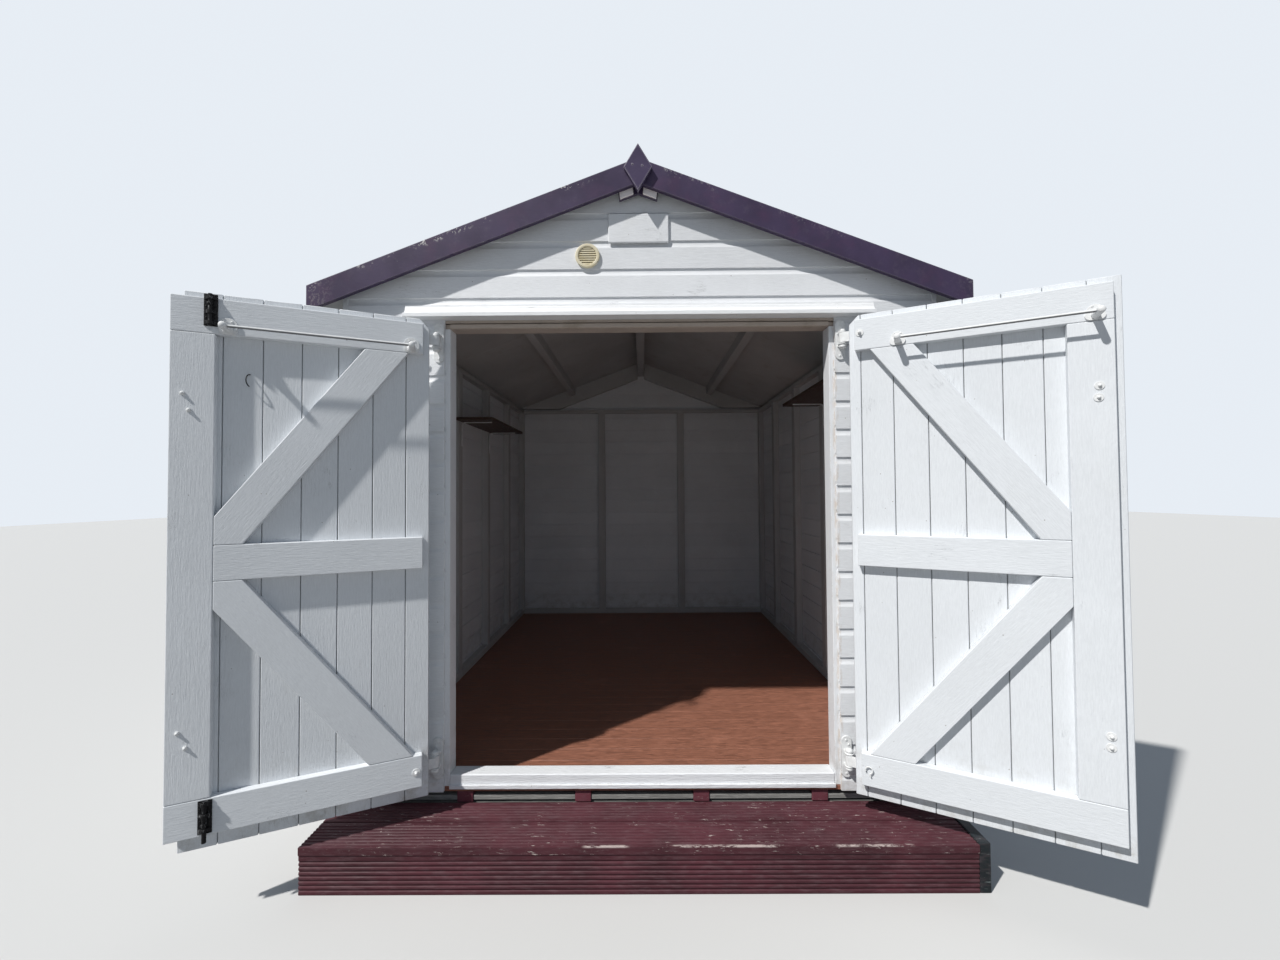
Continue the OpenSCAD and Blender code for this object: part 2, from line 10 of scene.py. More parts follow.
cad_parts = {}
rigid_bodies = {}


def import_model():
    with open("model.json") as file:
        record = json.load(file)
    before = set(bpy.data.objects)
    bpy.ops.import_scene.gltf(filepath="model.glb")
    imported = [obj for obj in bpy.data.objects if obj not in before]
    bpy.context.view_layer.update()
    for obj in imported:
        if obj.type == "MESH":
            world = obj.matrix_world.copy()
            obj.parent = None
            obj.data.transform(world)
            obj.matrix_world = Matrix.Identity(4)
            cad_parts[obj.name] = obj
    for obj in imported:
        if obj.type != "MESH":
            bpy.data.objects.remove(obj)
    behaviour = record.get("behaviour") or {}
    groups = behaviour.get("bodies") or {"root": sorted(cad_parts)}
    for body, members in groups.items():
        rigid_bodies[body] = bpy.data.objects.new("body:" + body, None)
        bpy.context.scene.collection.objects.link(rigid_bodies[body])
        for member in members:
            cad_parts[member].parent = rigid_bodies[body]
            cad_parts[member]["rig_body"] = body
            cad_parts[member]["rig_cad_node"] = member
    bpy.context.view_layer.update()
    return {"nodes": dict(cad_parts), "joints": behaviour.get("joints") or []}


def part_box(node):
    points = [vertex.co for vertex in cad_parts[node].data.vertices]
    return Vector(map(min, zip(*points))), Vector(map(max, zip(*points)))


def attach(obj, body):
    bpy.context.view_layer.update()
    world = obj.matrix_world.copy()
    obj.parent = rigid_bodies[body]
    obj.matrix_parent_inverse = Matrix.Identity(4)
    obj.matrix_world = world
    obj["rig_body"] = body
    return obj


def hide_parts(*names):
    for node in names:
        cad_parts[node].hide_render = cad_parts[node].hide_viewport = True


bl_info = {
    "name": "Beach Hut Maker",
    "version": (1, 0, 0),
    "blender": (4, 5, 0),
    "location": "View3D > Sidebar > Beach Hut",
    "description": "Finishes a timber beach hut with its boards, doors, roof, step and fittings",
    "category": "Add Mesh",
}

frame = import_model()

MM = 0.001
X, Y, Z = Vector((1, 0, 0)), Vector((0, 1, 0)), Vector((0, 0, 1))
WELD = 0.00002


def low(node):
    """The lowest corner of a node."""
    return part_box(node)[0]


def high(node):
    """The highest corner of a node."""
    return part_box(node)[1]


def nearest_x(node):
    """The distance from the middle of the hut to the nearest corner of a node."""
    return min(abs(v.co.x) for v in frame["nodes"][node].data.vertices)


FRONT = low("front_gable").y
BACK = high("back_wall").y
HALF_WIDTH = high("front_gable").x
BOARD_DEPTH = high("front_gable").y - FRONT
INNER_X = low("right_wall").x
WALL_FOOT = low("right_wall").z
RIDGE = high("front_gable").z
SLOPE = (RIDGE - high("right_wall").z) / INNER_X
PITCH = math.atan(SLOPE)
STRIP_X = nearest_x("front_wall")
GABLE_FOOT = low("front_gable").z


def roof_line(x):
    """Height of the tops of the walls at a distance from the middle."""
    return RIDGE - abs(x) * SLOPE


# How steeply the doors' braces lie
BRACE_TILT = math.radians(53.5)


class Leaf:
    """A door leaf's own directions: along it from the pin, and out of its inside face."""

    def __init__(self, key, side):
        hinge = next(j for j in frame["joints"] if j["name"] == key + "_door_hinge")
        self.key = key
        self.side = side
        self.body = "door_" + key
        self.pin = Vector(hinge["pos_m"])
        self.turn = math.radians(-hinge["range_deg"][0])
        self.along = Vector((-side * math.cos(self.turn), -math.sin(self.turn), 0))
        self.out = Vector((-side * math.sin(self.turn), math.cos(self.turn), 0))
        self.level = -math.atan2(self.along.y, self.along.x)
        self.tilts = {"stile": math.pi / 2, "ledge": 0.0, "upper_brace": -BRACE_TILT, "lower_brace": BRACE_TILT}

    def point(self, s, w, z):
        """A place on the leaf, from the distance along it, the distance through it and the height."""
        return Vector((self.pin.x, self.pin.y, z)) + self.along * s + self.out * w

    def span(self, node, direction):
        """The least and the greatest distance of a node from the pin in a direction."""
        base = Vector((self.pin.x, self.pin.y, 0))
        found = [(v.co - base).dot(direction) for v in frame["nodes"][node].data.vertices]
        return min(found), max(found)


LEFT = Leaf("left", -1)
RIGHT = Leaf("right", 1)


# Sizes and colours that a user would change


def length(name, default, description):
    return FloatProperty(name=name, default=default, min=0, unit="LENGTH", description=description)


def paint(name, default, description):
    return FloatVectorProperty(name=name, default=default, min=0, max=1, subtype="COLOR", description=description)


class HutBoardSizes(bpy.types.PropertyGroup):
    """Sizes of the boards and of their joints."""

    cover: length("Weatherboard cover", 0.1157, "Height that each weatherboard shows")
    cove_height: length("Cove height", 0.027, "Height of the hollow along a weatherboard's top edge")
    cove_depth: length("Cove depth", 0.0055, "Depth of the hollow along a weatherboard's top edge")
    tongue: length("Tongue", 0.008, "Height of the tongue behind the next weatherboard")
    joint_gap: length("Weatherboard gap", 0.0025, "Open gap under each weatherboard's lower edge")
    inner_gap: length("Inner gap", 0.011, "Open gap between two weatherboards, seen from inside")
    corner_bead: length("Corner bead", 0.021, "Width of the square bead on the hut's corners")
    edge: length("Timber edge", 0.002, "Rounding of planed timber edges")
    vee: length("Vee joint", 0.0022, "Size of the vee on each edge of a door board")
    rib_pitch: length("Rib pitch", 0.0165, "Distance from rib to rib on the step's boards")
    rib_depth: length("Rib depth", 0.0045, "Depth of the grooves between the ribs")
    floor_board: length("Floor board width", 0.1, "Width of a floor board")
    roof_sheet: length("Roof sheet width", 1.22, "Width of a sheet of the roof's boarding")


class HutColours(bpy.types.PropertyGroup):
    """Colours of the paints and of the bare materials."""

    white: paint("Wall white", (0.80, 0.815, 0.835), "Paint of the walls and the door frame")
    door: paint("Door white", (0.755, 0.782, 0.81), "Paint of the doors")
    # The inside white is a grey: white paint darkened as painted shade for the dim inside of the hut
    inside: paint("Inside white darkened as painted shade", (0.54, 0.54, 0.535), "Paint inside the hut")
    aubergine: paint("Aubergine", (0.045, 0.031, 0.070), "Paint of the bargeboards and finials")
    burgundy: paint("Burgundy", (0.068, 0.018, 0.025), "Paint of the step and the joist ends")
    grey: paint("Grey timber", (0.16, 0.16, 0.15), "Weathered timber of the base")
    slate: paint("Slate", (0.013, 0.018, 0.021), "Paint of the step's end board")
    floor: paint("Floor stain", (0.26, 0.11, 0.07), "Stain of the floor boards")
    shelf: paint("Shelf stain", (0.06, 0.03, 0.018), "Stain of the shelves")
    felt: paint("Felt", (0.055, 0.058, 0.058), "Mineral felt of the roof")
    iron: paint("Painted iron", (0.77, 0.78, 0.78), "Paint of the hinges, rails and hooks")
    black: paint("Black iron", (0.012, 0.012, 0.013), "Paint of the tower bolts")
    cream: paint("Cream plastic", (0.72, 0.66, 0.50), "Plastic of the vent")
    bare: paint("Bare wood", (0.30, 0.22, 0.15), "Wood where the paint has gone")


def sizes():
    return bpy.context.scene.hut_boards


def colours():
    return bpy.context.scene.hut_colours


# Modelling steps, done with Blender's own operators


def idle():
    """Object mode, with nothing selected."""
    if bpy.context.object and bpy.context.object.mode != "OBJECT":
        bpy.ops.object.mode_set(mode="OBJECT")
    bpy.ops.object.select_all(action="DESELECT")


def pick(*pieces):
    """Selects only these pieces, the first one active."""
    idle()
    for piece in pieces:
        piece.select_set(True)
    bpy.context.view_layer.objects.active = pieces[0]


def edit(piece, mode="VERT"):
    """Opens one piece in edit mode with all of it selected."""
    pick(piece)
    bpy.ops.object.mode_set(mode="EDIT")
    bpy.ops.mesh.select_mode(type=mode)
    bpy.ops.mesh.select_all(action="SELECT")


def bake_place(piece):
    """Puts a piece's place, turn and scale into its mesh."""
    pick(piece)
    bpy.ops.object.transform_apply(location=True, rotation=True, scale=True)
    return piece


def named(name):
    piece = bpy.context.object
    piece.name = name
    piece.data.name = name
    return bake_place(piece)


def block(name, corner, opposite):
    """A box between two corners."""
    idle()
    middle = (Vector(corner) + Vector(opposite)) / 2
    size = [abs(b - a) for a, b in zip(corner, opposite)]
    bpy.ops.mesh.primitive_cube_add(size=1, location=middle, scale=size)
    return named(name)


def rod(name, start, end, radius, vertices=20, end_radius=None):
    """A round bar between two points, or a cone if its end has its own radius."""
    idle()
    start, end = Vector(start), Vector(end)
    axis = end - start
    bpy.ops.mesh.primitive_cone_add(
        vertices=vertices,
        radius1=radius,
        radius2=radius if end_radius is None else end_radius,
        depth=axis.length,
        location=(start + end) / 2,
        rotation=axis.to_track_quat("Z", "Y").to_euler(),
    )
    return named(name)


def dome(name, centre, radius, scale=(1, 1, 1), segments=16, rings=8):
    """A ball, or one squeezed along the axes."""
    idle()
    bpy.ops.mesh.primitive_uv_sphere_add(
        segments=segments, ring_count=rings, radius=radius, location=centre, scale=scale
    )
    return named(name)


def prism(name, points, along):
    """A corner drawn out from point to point, filled, and the face drawn out along a direction."""
    idle()
    bpy.ops.mesh.primitive_plane_add(size=MM, location=points[0])
    piece = named(name)
    edit(piece)
    bpy.ops.mesh.merge(type="CENTER")
    for here, there in zip(points, points[1:]):
        step = Vector(there) - Vector(here)
        bpy.ops.mesh.extrude_vertices_move(TRANSFORM_OT_translate={"value": step})
    bpy.ops.mesh.select_all(action="SELECT")
    bpy.ops.mesh.edge_face_add()
    bpy.ops.mesh.extrude_region_move(TRANSFORM_OT_translate={"value": Vector(along)})
    bpy.ops.mesh.select_all(action="SELECT")
    bpy.ops.mesh.normals_make_consistent(inside=False)
    idle()
    return piece


def copy_of(piece, name, offset=(0, 0, 0)):
    """A copy with its own mesh, moved by an offset."""
    pick(piece)
    bpy.ops.object.duplicate()
    twin = bpy.context.object
    twin.location = Vector(offset)
    twin.name = name
    twin.data.name = name
    return bake_place(twin)


def joined(name, pieces):
    """Several pieces as one."""
    pick(*pieces)
    if len(pieces) > 1:
        bpy.ops.object.join()
    piece = bpy.context.object
    piece.name = name
    piece.data.name = name
    return piece


def timber(node):
    """A piece of a node's own shape, with whole flat faces and no loose seams."""
    source = frame["nodes"][node]
    hidden = source.hide_viewport
    source.hide_viewport = False
    pick(source)
    bpy.ops.object.duplicate()
    piece = bpy.context.object
    source.hide_viewport = hidden
    piece.parent = None
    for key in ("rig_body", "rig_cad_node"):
        if key in piece:
            del piece[key]
    piece.name = node + "_finished"
    piece.data.name = piece.name
    piece.hide_viewport = False
    piece.hide_render = False
    edit(piece)
    bpy.ops.mesh.remove_doubles(threshold=WELD)
    bpy.ops.mesh.dissolve_limited(angle_limit=math.radians(1))
    idle()
    return piece


def cut(piece, place, normal, fill=True):
    """Cuts off what lies beyond a plane, on the side that the normal points to."""
    edit(piece)
    bpy.ops.mesh.bisect(plane_co=place, plane_no=normal, use_fill=fill, clear_outer=True, threshold=WELD / 2)
    idle()
    return piece


def sliced(piece, places, direction, gap=0.0):
    """Saws a piece across a direction at each of the places, into boards that stay one piece."""
    direction = Vector(direction)
    name = piece.name
    boards = []
    edges = [None, *sorted(places), None]
    for before, after in zip(edges, edges[1:]):
        board = copy_of(piece, name + "_board")
        if before is not None:
            cut(board, direction * (before + gap / 2), -direction)
        if after is not None:
            cut(board, direction * (after - gap / 2), direction)
        if len(board.data.vertices):
            boards.append(board)
        else:
            bpy.data.objects.remove(board)
    bpy.data.objects.remove(piece)
    return joined(name, boards)


def modifier(piece, kind, **settings):
    """Adds a modifier with its settings, and applies it."""
    pick(piece)
    bpy.ops.object.modifier_add(type=kind)
    added = piece.modifiers[-1]
    for key, value in settings.items():
        setattr(added, key, value)
    bpy.ops.object.modifier_apply(modifier=added.name)
    return piece


def eased(piece, width=None, segments=2, angle=35):
    """Rounds the edges of a piece."""
    width = sizes().edge if width is None else width
    modifier(
        piece,
        "BEVEL",
        width=width,
        segments=segments,
        limit_method="ANGLE",
        angle_limit=math.radians(angle),
        use_clamp_overlap=True,
    )
    return smooth(piece)


def smooth(piece, angle=40):
    pick(piece)
    bpy.ops.object.shade_smooth_by_angle(angle=math.radians(angle))
    return piece


def turned(piece, angle, axis="Z", centre=(0, 0, 0)):
    """Turns a piece about an axis through a point."""
    matrix = Matrix.Translation(centre) @ Matrix.Rotation(angle, 4, axis) @ Matrix.Translation(-Vector(centre))
    piece.matrix_world = matrix @ piece.matrix_world
    return bake_place(piece)


def mirrored(piece, name):
    """A copy on the other side of the hut's middle."""
    twin = copy_of(piece, name)
    twin.scale.x = -1
    bake_place(twin)
    edit(twin)
    bpy.ops.mesh.normals_make_consistent(inside=False)
    idle()
    return twin


def facing(piece, place, out):
    """Puts a piece that was made flat, X to the right and Z outwards, onto an upright face."""
    matrix = Matrix((Z.cross(out), Z, out)).transposed().to_4x4()
    matrix.translation = place
    piece.matrix_world = matrix @ piece.matrix_world
    return bake_place(piece)


def loose_parts(piece):
    """The separate solids of a piece, each as its own object."""
    edit(piece)
    bpy.ops.mesh.separate(type="LOOSE")
    idle()
    stem = piece.name.split(".")[0]
    return [o for o in bpy.data.objects if o.type == "MESH" and o.name.split(".")[0] == stem]


def painted(piece, finish):
    """Gives a piece one finish."""
    piece.data.materials.clear()
    piece.data.materials.append(finish)
    return piece


def settle(piece, finish, body, *nodes, slot=None):
    """Gives a piece its finish and its body, and lets it stand for the nodes named; its slot is not used."""
    if finish is not None:
        painted(piece, finish)
    modifier(piece, "WEIGHTED_NORMAL", keep_sharp=True)
    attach(piece, body)
    if nodes:
        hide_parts(*nodes)
    return piece


# Materials

# Dirt and damage on the white paints, and the stains on them as shares of the paint's own colour
CRACK = (0.20, 0.18, 0.15)
SPECK = (0.20, 0.16, 0.12)
SPLASH = (0.34, 0.31, 0.25)
SEEPAGE = (0.56, 0.45, 0.34)
STAIN = (0.70, 0.67, 0.60)
SOIL = (0.66, 0.64, 0.58)
# How high rain splashes a wall, how far a seam's streak reaches to each side, and how near the gable it starts
SPLASH_HEIGHT = 0.35
STREAK_EDGE, STREAK_CORE = 0.014, 0.002
STREAK_START = 0.05
# Dirt and chips on the dark paints, with rust, scuffs, grit and moss, and a painted shade for downward faces
DARK_DUST = (0.22, 0.19, 0.22)
DARK_RIM = (0.31, 0.28, 0.33)
DARK_END = (0.25, 0.22, 0.24)
DARK_CHIP = (0.58, 0.56, 0.56)
STEP_DUST = (0.17, 0.115, 0.125)
RUST = (0.23, 0.10, 0.045)
SCUFF = (0.50, 0.51, 0.52)
# Painted shade: a dark grey laid on the downward faces of the rails' rods
PAINTED_UNDERSIDE_SHADE = (0.10, 0.10, 0.105)
GRIT_DUST = (0.12, 0.12, 0.11)
MOSS = (0.07, 0.085, 0.05)
# Where feet have rubbed the step's nose, from the middle of the hut, and how softly each place ends
NOSE_WEAR = ((-0.205, -0.055), (0.105, 0.475), (0.69, 0.95))
NOSE_SOFT = 0.015


def tinted(colour, shares):
    """A colour with each of its channels multiplied by a share."""
    return tuple(value * share for value, share in zip(colour, shares))


class Finish:
    """A node material that is written line by line."""

    def __init__(self, name):
        self.material = bpy.data.materials.new(name)
        self.material.use_nodes = True
        self.tree = self.material.node_tree
        self.shader = next(n for n in self.tree.nodes if n.type == "BSDF_PRINCIPLED")
        self.place = self.node("ShaderNodeTexCoord").outputs["Object"]

    def put(self, socket, value):
        """Gives a socket another node's output or a value."""
        if isinstance(value, bpy.types.NodeSocket):
            self.tree.links.new(value, socket)
        else:
            socket.default_value = value

    def node(self, kind, settings=None, **inputs):
        """A node with its settings and its inputs, which are named, or numbered as i0, i1 and so on."""
        made = self.tree.nodes.new(kind)
        for key, value in (settings or {}).items():
            setattr(made, key, value)
        for key, value in inputs.items():
            self.put(made.inputs[int(key[1:])] if key[0] == "i" and key[1:].isdigit() else made.inputs[key], value)
        return made

    def stretched(self, scale, shift=(0, 0, 0)):
        """Object coordinates, moved and then scaled along each axis."""
        moved = self.node("ShaderNodeMapping", Vector=self.place, Location=shift)
        return self.node("ShaderNodeMapping", Vector=moved.outputs[0], Scale=scale).outputs[0]

    def own(self):
        """A number between 0 and 1 that each board has for itself."""
        return self.node("ShaderNodeNewGeometry").outputs["Random Per Island"]

    def grain(self, scale, level=0.0, tilt=0.0):
        """Coordinates that lie along a board's grain, stretched, and shifted from board to board."""
        laid = self.node("ShaderNodeMapping", Vector=self.place, Rotation=(0, 0, level)).outputs[0]
        laid = self.node("ShaderNodeMapping", Vector=laid, Rotation=(0, tilt, 0)).outputs[0]
        shift = self.node("ShaderNodeVectorMath", {"operation": "SCALE"}, i0=(7.3, 9.1, 5.7), Scale=self.own())
        moved = self.node("ShaderNodeVectorMath", {"operation": "ADD"}, i0=laid, i1=shift.outputs[0])
        return self.node("ShaderNodeMapping", Vector=moved.outputs[0], Scale=scale).outputs[0]

    def rims(self, radius, start=0.01, end=0.1):
        """1 along sharp edges, falling to 0 on the faces."""
        soft = self.node("ShaderNodeBevel", {"samples": 4}, Radius=radius).outputs[0]
        flat = self.node("ShaderNodeNewGeometry").outputs["Normal"]
        same = self.node("ShaderNodeVectorMath", {"operation": "DOT_PRODUCT"}, i0=soft, i1=flat).outputs["Value"]
        return self.range(same, 1 - start, 1 - end)

    def lines(self, where, scale, width, detail=6, rough=0.65, bend=0.6):
        """Thin lines where a noise crosses its middle, which run along the grain."""
        off = self.absolute(self.maths("SUBTRACT", self.noise(where, scale, detail, rough, bend), 0.5))
        return self.range(off, width, width * 0.3)

    def noise(self, where, scale, detail=4, rough=0.55, bend=0.0):
        settings = {"Scale": scale, "Detail": detail, "Roughness": rough, "Distortion": bend}
        return self.node("ShaderNodeTexNoise", Vector=where, **settings).outputs["Fac"]

    def cells(self, where, scale):
        return self.node("ShaderNodeTexVoronoi", Vector=where, Scale=scale).outputs["Distance"]

    def range(self, value, start, end, to_start=0.0, to_end=1.0):
        """A value mapped from one range to another, and held at its ends."""
        limits = {"i1": start, "i2": end, "i3": to_start, "i4": to_end}
        return self.node("ShaderNodeMapRange", {"interpolation_type": "SMOOTHSTEP"}, i0=value, **limits).outputs[0]

    def maths(self, operation, first, second=0.0):
        return self.node("ShaderNodeMath", {"operation": operation}, i0=first, i1=second).outputs[0]

    def absolute(self, value):
        return self.maths("ABSOLUTE", value)

    def times(self, *values):
        """The product of all the values."""
        product = values[0]
        for value in values[1:]:
            product = self.maths("MULTIPLY", product, value)
        return product

    def weighed(self, *terms):
        """The sum of values, each times its weight."""
        total = 0.0
        for value, weight in terms:
            total = self.node("ShaderNodeMath", {"operation": "MULTIPLY_ADD"}, i0=value, i1=weight, i2=total).outputs[0]
        return total

    def axis(self, index):
        """One of the object's coordinates."""
        return self.node("ShaderNodeSeparateXYZ", Vector=self.place).outputs[index]

    def mix(self, share, first, second, blend="MIX"):
        """Two colours mixed."""
        made = self.node("ShaderNodeMix", {"data_type": "RGBA", "blend_type": blend}, i0=share)
        for index, value in ((6, first), (7, second)):
            self.put(made.inputs[index], value if isinstance(value, bpy.types.NodeSocket) else (*value[:3], 1))
        return made.outputs[2]

    def over(self, base, colour, *shares):
        """A colour laid over another by the product of its shares."""
        return self.mix(self.times(*shares), base, colour)

    def shade(self, colour, factor):
        """A colour made lighter or darker by a value about 1."""
        grey = self.node("ShaderNodeCombineColor", Red=factor, Green=factor, Blue=factor).outputs[0]
        return self.mix(1.0, colour, grey, "MULTIPLY")

    def bump(self, height, distance):
        return self.node("ShaderNodeBump", Height=height, Distance=distance).outputs[0]

    def wear(self, **sockets):
        """Joins the results to the shader."""
        for key, value in sockets.items():
            self.put(self.shader.inputs[key.replace("_", " ")], value)
        return self.material


def brushed_paint(
    name, colour, grain=(1, 1, 1), level=0.0, tilt=0.0, tone=0.05, dirt=0.1, cracks=0.3, rough=0.45, depth=0.0012,
    chips=0.0, foot=None, seam=None,
):
    """Brush-laid paint on timber, with strokes along the grain, faint stains, hair cracks, specks and small chips.

    From foot upwards rain has splashed it, and dirty water has run down beside the seam, below the gable.
    """
    f = Finish(name)
    along = f.grain(grain, level, tilt)
    strokes = f.noise(along, 34, 4, 0.7)
    ridges = f.noise(along, 17, 7, 0.68, 0.15)
    lumps = f.noise(f.place, 95, 3, 0.5)
    cloud = f.noise(f.place, 2.3, 3)
    patches = f.noise(f.place, 9, 5, 0.6)
    base = f.shade(colour, f.range(f.own(), 0, 1, 1 - tone * 0.7, 1 + tone * 0.4))
    base = f.shade(base, f.range(cloud, 0.3, 0.7, 1 - tone, 1 + tone / 2))
    base = f.shade(base, f.range(strokes, 0.3, 0.7, 0.955, 1.03))
    base = f.over(base, tinted(colour, STAIN), f.range(patches, 0.52, 0.78), dirt)
    base = f.over(base, tinted(colour, SOIL), f.range(ridges, 0.54, 0.74), f.range(cloud, 0.40, 0.65), dirt)
    crack = f.times(f.lines(along, 7, 0.006), f.range(f.noise(f.place, 6, 3), 0.60, 0.68))
    base = f.over(base, CRACK, crack, cracks)
    specks = f.range(f.cells(f.place, 34), 0.075, 0.05)
    base = f.over(base, SPECK, specks, f.range(f.noise(f.place, 15, 2), 0.57, 0.62), 0.7)
    relief = [(strokes, 0.45), (ridges, 0.6), (lumps, 0.3), (crack, -0.3)]
    if foot is not None:
        splash = f.range(f.axis(2), foot, foot + SPLASH_HEIGHT, 1.0, 0.0)
        base = f.over(base, SPLASH, splash, f.range(f.noise(f.place, 14, 6, 0.7), 0.42, 0.72), 0.5)
    if seam is not None:
        streak = f.range(f.absolute(f.maths("SUBTRACT", f.axis(0), seam)), STREAK_EDGE, STREAK_CORE)
        runs = f.range(f.noise(f.stretched((5, 5, 1.4)), 14, 6, 0.72), 0.44, 0.60)
        below = f.range(f.axis(2), GABLE_FOOT, GABLE_FOOT - STREAK_START)
        base = f.over(base, SEEPAGE, streak, runs, below, 0.5)
    if chips:
        flake = f.times(f.rims(0.004), f.range(f.noise(f.place, 30, 5, 0.7), 0.53, 0.58))
        base = f.over(base, tuple(colours().bare), flake, chips)
        relief.append((flake, -0.5))
    gloss = f.range(strokes, 0.3, 0.7, rough - 0.07, rough + 0.12)
    normal = f.bump(f.weighed(*relief), depth)
    return f.wear(Base_Color=base, Roughness=gloss, Normal=normal, Specular_IOR_Level=0.4)


def chipped_paint(name, colour, edge, rim_wear=0.3):
    """Dark gloss paint with pale chips that gather along the upper edge of a sloping board.

    edge is the height that the upper edge would reach over the middle of the hut.
    """
    f = Finish(name)
    across = f.absolute(f.axis(0))
    near_edge = f.range(f.weighed((across, SLOPE), (f.axis(2), 1)), edge - 0.035, edge - 0.006)
    left_half = f.range(f.axis(0), 0.35, -0.25, 0.15, 1.0)
    far_end = f.range(across, HALF_WIDTH - 0.02, HALF_WIDTH + 0.09)
    cloud = f.noise(f.place, 5, 4, 0.6)
    base = f.shade(colour, f.range(cloud, 0.3, 0.72, 0.84, 1.2))
    base = f.over(base, tinted(colour, (1.7, 1.1, 1.15)), f.range(f.noise(f.place, 11, 5, 0.6), 0.48, 0.75), 0.4)
    base = f.over(base, DARK_DUST, f.range(f.noise(f.place, 21, 6, 0.72), 0.5, 0.8), 0.13)
    rubbed = f.range(f.noise(f.place, 26, 4, 0.6), 0.25, 0.50)
    base = f.over(base, DARK_RIM, f.rims(0.007, 0.004, 0.05), rubbed, rim_wear)
    flakes = f.noise(f.place, 78, 6, 0.7)
    patchy = f.range(f.noise(f.place, 8, 4, 0.6), 0.49, 0.60)
    edge_chips = f.times(f.range(flakes, 0.55, 0.585), near_edge, left_half, patchy)
    rim_chips = f.times(f.rims(0.004, 0.01, 0.12), f.range(flakes, 0.56, 0.60), left_half, patchy)
    base = f.over(base, DARK_END, f.range(flakes, 0.5, 0.6), far_end, left_half, 0.5)
    loose_chips = f.times(f.range(flakes, 0.69, 0.71), f.range(f.noise(f.place, 7, 2), 0.52, 0.6))
    chips = f.maths("MAXIMUM", f.maths("MAXIMUM", edge_chips, rim_chips), loose_chips)
    base = f.mix(chips, base, DARK_CHIP)
    ripple = f.noise(f.stretched((4, 1, 40)), 9, 4, 0.6)
    gloss = f.range(cloud, 0.3, 0.7, 0.40, 0.58)
    normal = f.bump(f.weighed((ripple, 0.4), (chips, -1)), 0.0008)
    return f.wear(Base_Color=base, Roughness=gloss, Normal=normal, Specular_IOR_Level=0.25)


def worn_paint(name, colour, bare, front=None, top=None, rib=0.0):
    """Flat dark paint on a ribbed board, rubbed through in short flecks and, on the nose, in long streaks.

    front and top are the place and the height of the step's nose, and rib is the depth of the board's grooves.
    """
    f = Finish(name)
    cloud = f.noise(f.place, 4, 4, 0.6)
    base = f.shade(colour, f.range(cloud, 0.3, 0.72, 0.78, 1.25))
    base = f.over(base, STEP_DUST, f.range(f.noise(f.stretched((2, 9, 9)), 11, 6, 0.65), 0.42, 0.75), 0.30)
    fine = f.noise(f.stretched((5, 26, 26), (4, 2, 1)), 14, 5, 0.7)
    flecks = f.range(f.noise(f.stretched((1, 5, 5), (2, 5, 3)), 19, 7, 0.75, 0.3), 0.595, 0.62)
    worn_places = f.range(f.noise(f.place, 3.2, 3, 0.6), 0.40, 0.56)
    rub = f.times(flecks, worn_places, f.range(fine, 0.38, 0.50))
    if front is not None:
        on_top = f.range(f.axis(2), top - rib * 0.45, top - rib * 0.1)
        on_face = f.range(f.axis(1), front + rib * 0.6, front + rib * 0.15)
        rub = f.times(rub, f.maths("MAXIMUM", on_top, on_face))
        nose = f.range(f.axis(1), front + 0.003, front + 0.014, 1.0, 0.0)
        lip = f.times(nose, f.range(f.axis(2), top - 0.006, top - 0.001))
        streaks = f.range(f.noise(f.stretched((1, 3, 3), (1.37, 0, 0)), 16, 8, 0.78), 0.44, 0.54)
        trodden = 0.0
        for start, end in NOSE_WEAR:
            after = f.range(f.axis(0), start - NOSE_SOFT, start + NOSE_SOFT)
            before = f.range(f.axis(0), end + NOSE_SOFT, end - NOSE_SOFT)
            trodden = f.maths("MAXIMUM", f.times(after, before), trodden)
        rub = f.maths("MAXIMUM", rub, f.times(lip, streaks, trodden))
    base = f.mix(rub, base, bare)
    gloss = f.range(cloud, 0.3, 0.7, 0.55, 0.75)
    normal = f.bump(f.weighed((fine, 0.5), (rub, -0.6)), 0.0009)
    return f.wear(Base_Color=base, Roughness=gloss, Normal=normal, Specular_IOR_Level=0.3)


def stained_wood(name, colour, grain=(1, 1, 1), tone=0.35, rough=0.5):
    """Wood stain with the grain showing through."""
    f = Finish(name)
    along = f.stretched(grain)
    rings = f.noise(along, 12, 8, 0.62, 1.4)
    pores = f.noise(along, 70, 4, 0.6)
    base = f.shade(colour, f.range(rings, 0.3, 0.7, 1 - tone, 1 + tone))
    base = f.over(base, [c * 0.55 for c in colour], f.range(pores, 0.55, 0.7), 0.5)
    base = f.over(base, [min(1, c * 1.9 + 0.03) for c in colour], f.range(f.noise(f.place, 5, 6, 0.7), 0.55, 0.75), 0.3)
    normal = f.bump(f.weighed((rings, 1), (pores, 1)), 0.0006)
    return f.wear(Base_Color=base, Roughness=f.range(rings, 0.3, 0.7, rough - 0.1, rough + 0.12), Normal=normal)


def grey_wood(name, colour):
    """Weathered timber that was never painted."""
    f = Finish(name)
    lines = f.noise(f.stretched((1, 12, 12)), 14, 8, 0.68, 0.8)
    base = f.shade(colour, f.range(lines, 0.3, 0.7, 0.6, 1.4))
    base = f.mix(f.range(f.noise(f.place, 3, 4), 0.45, 0.7), base, [c * 0.6 for c in colour])
    return f.wear(Base_Color=base, Roughness=0.85, Normal=f.bump(lines, 0.0015))


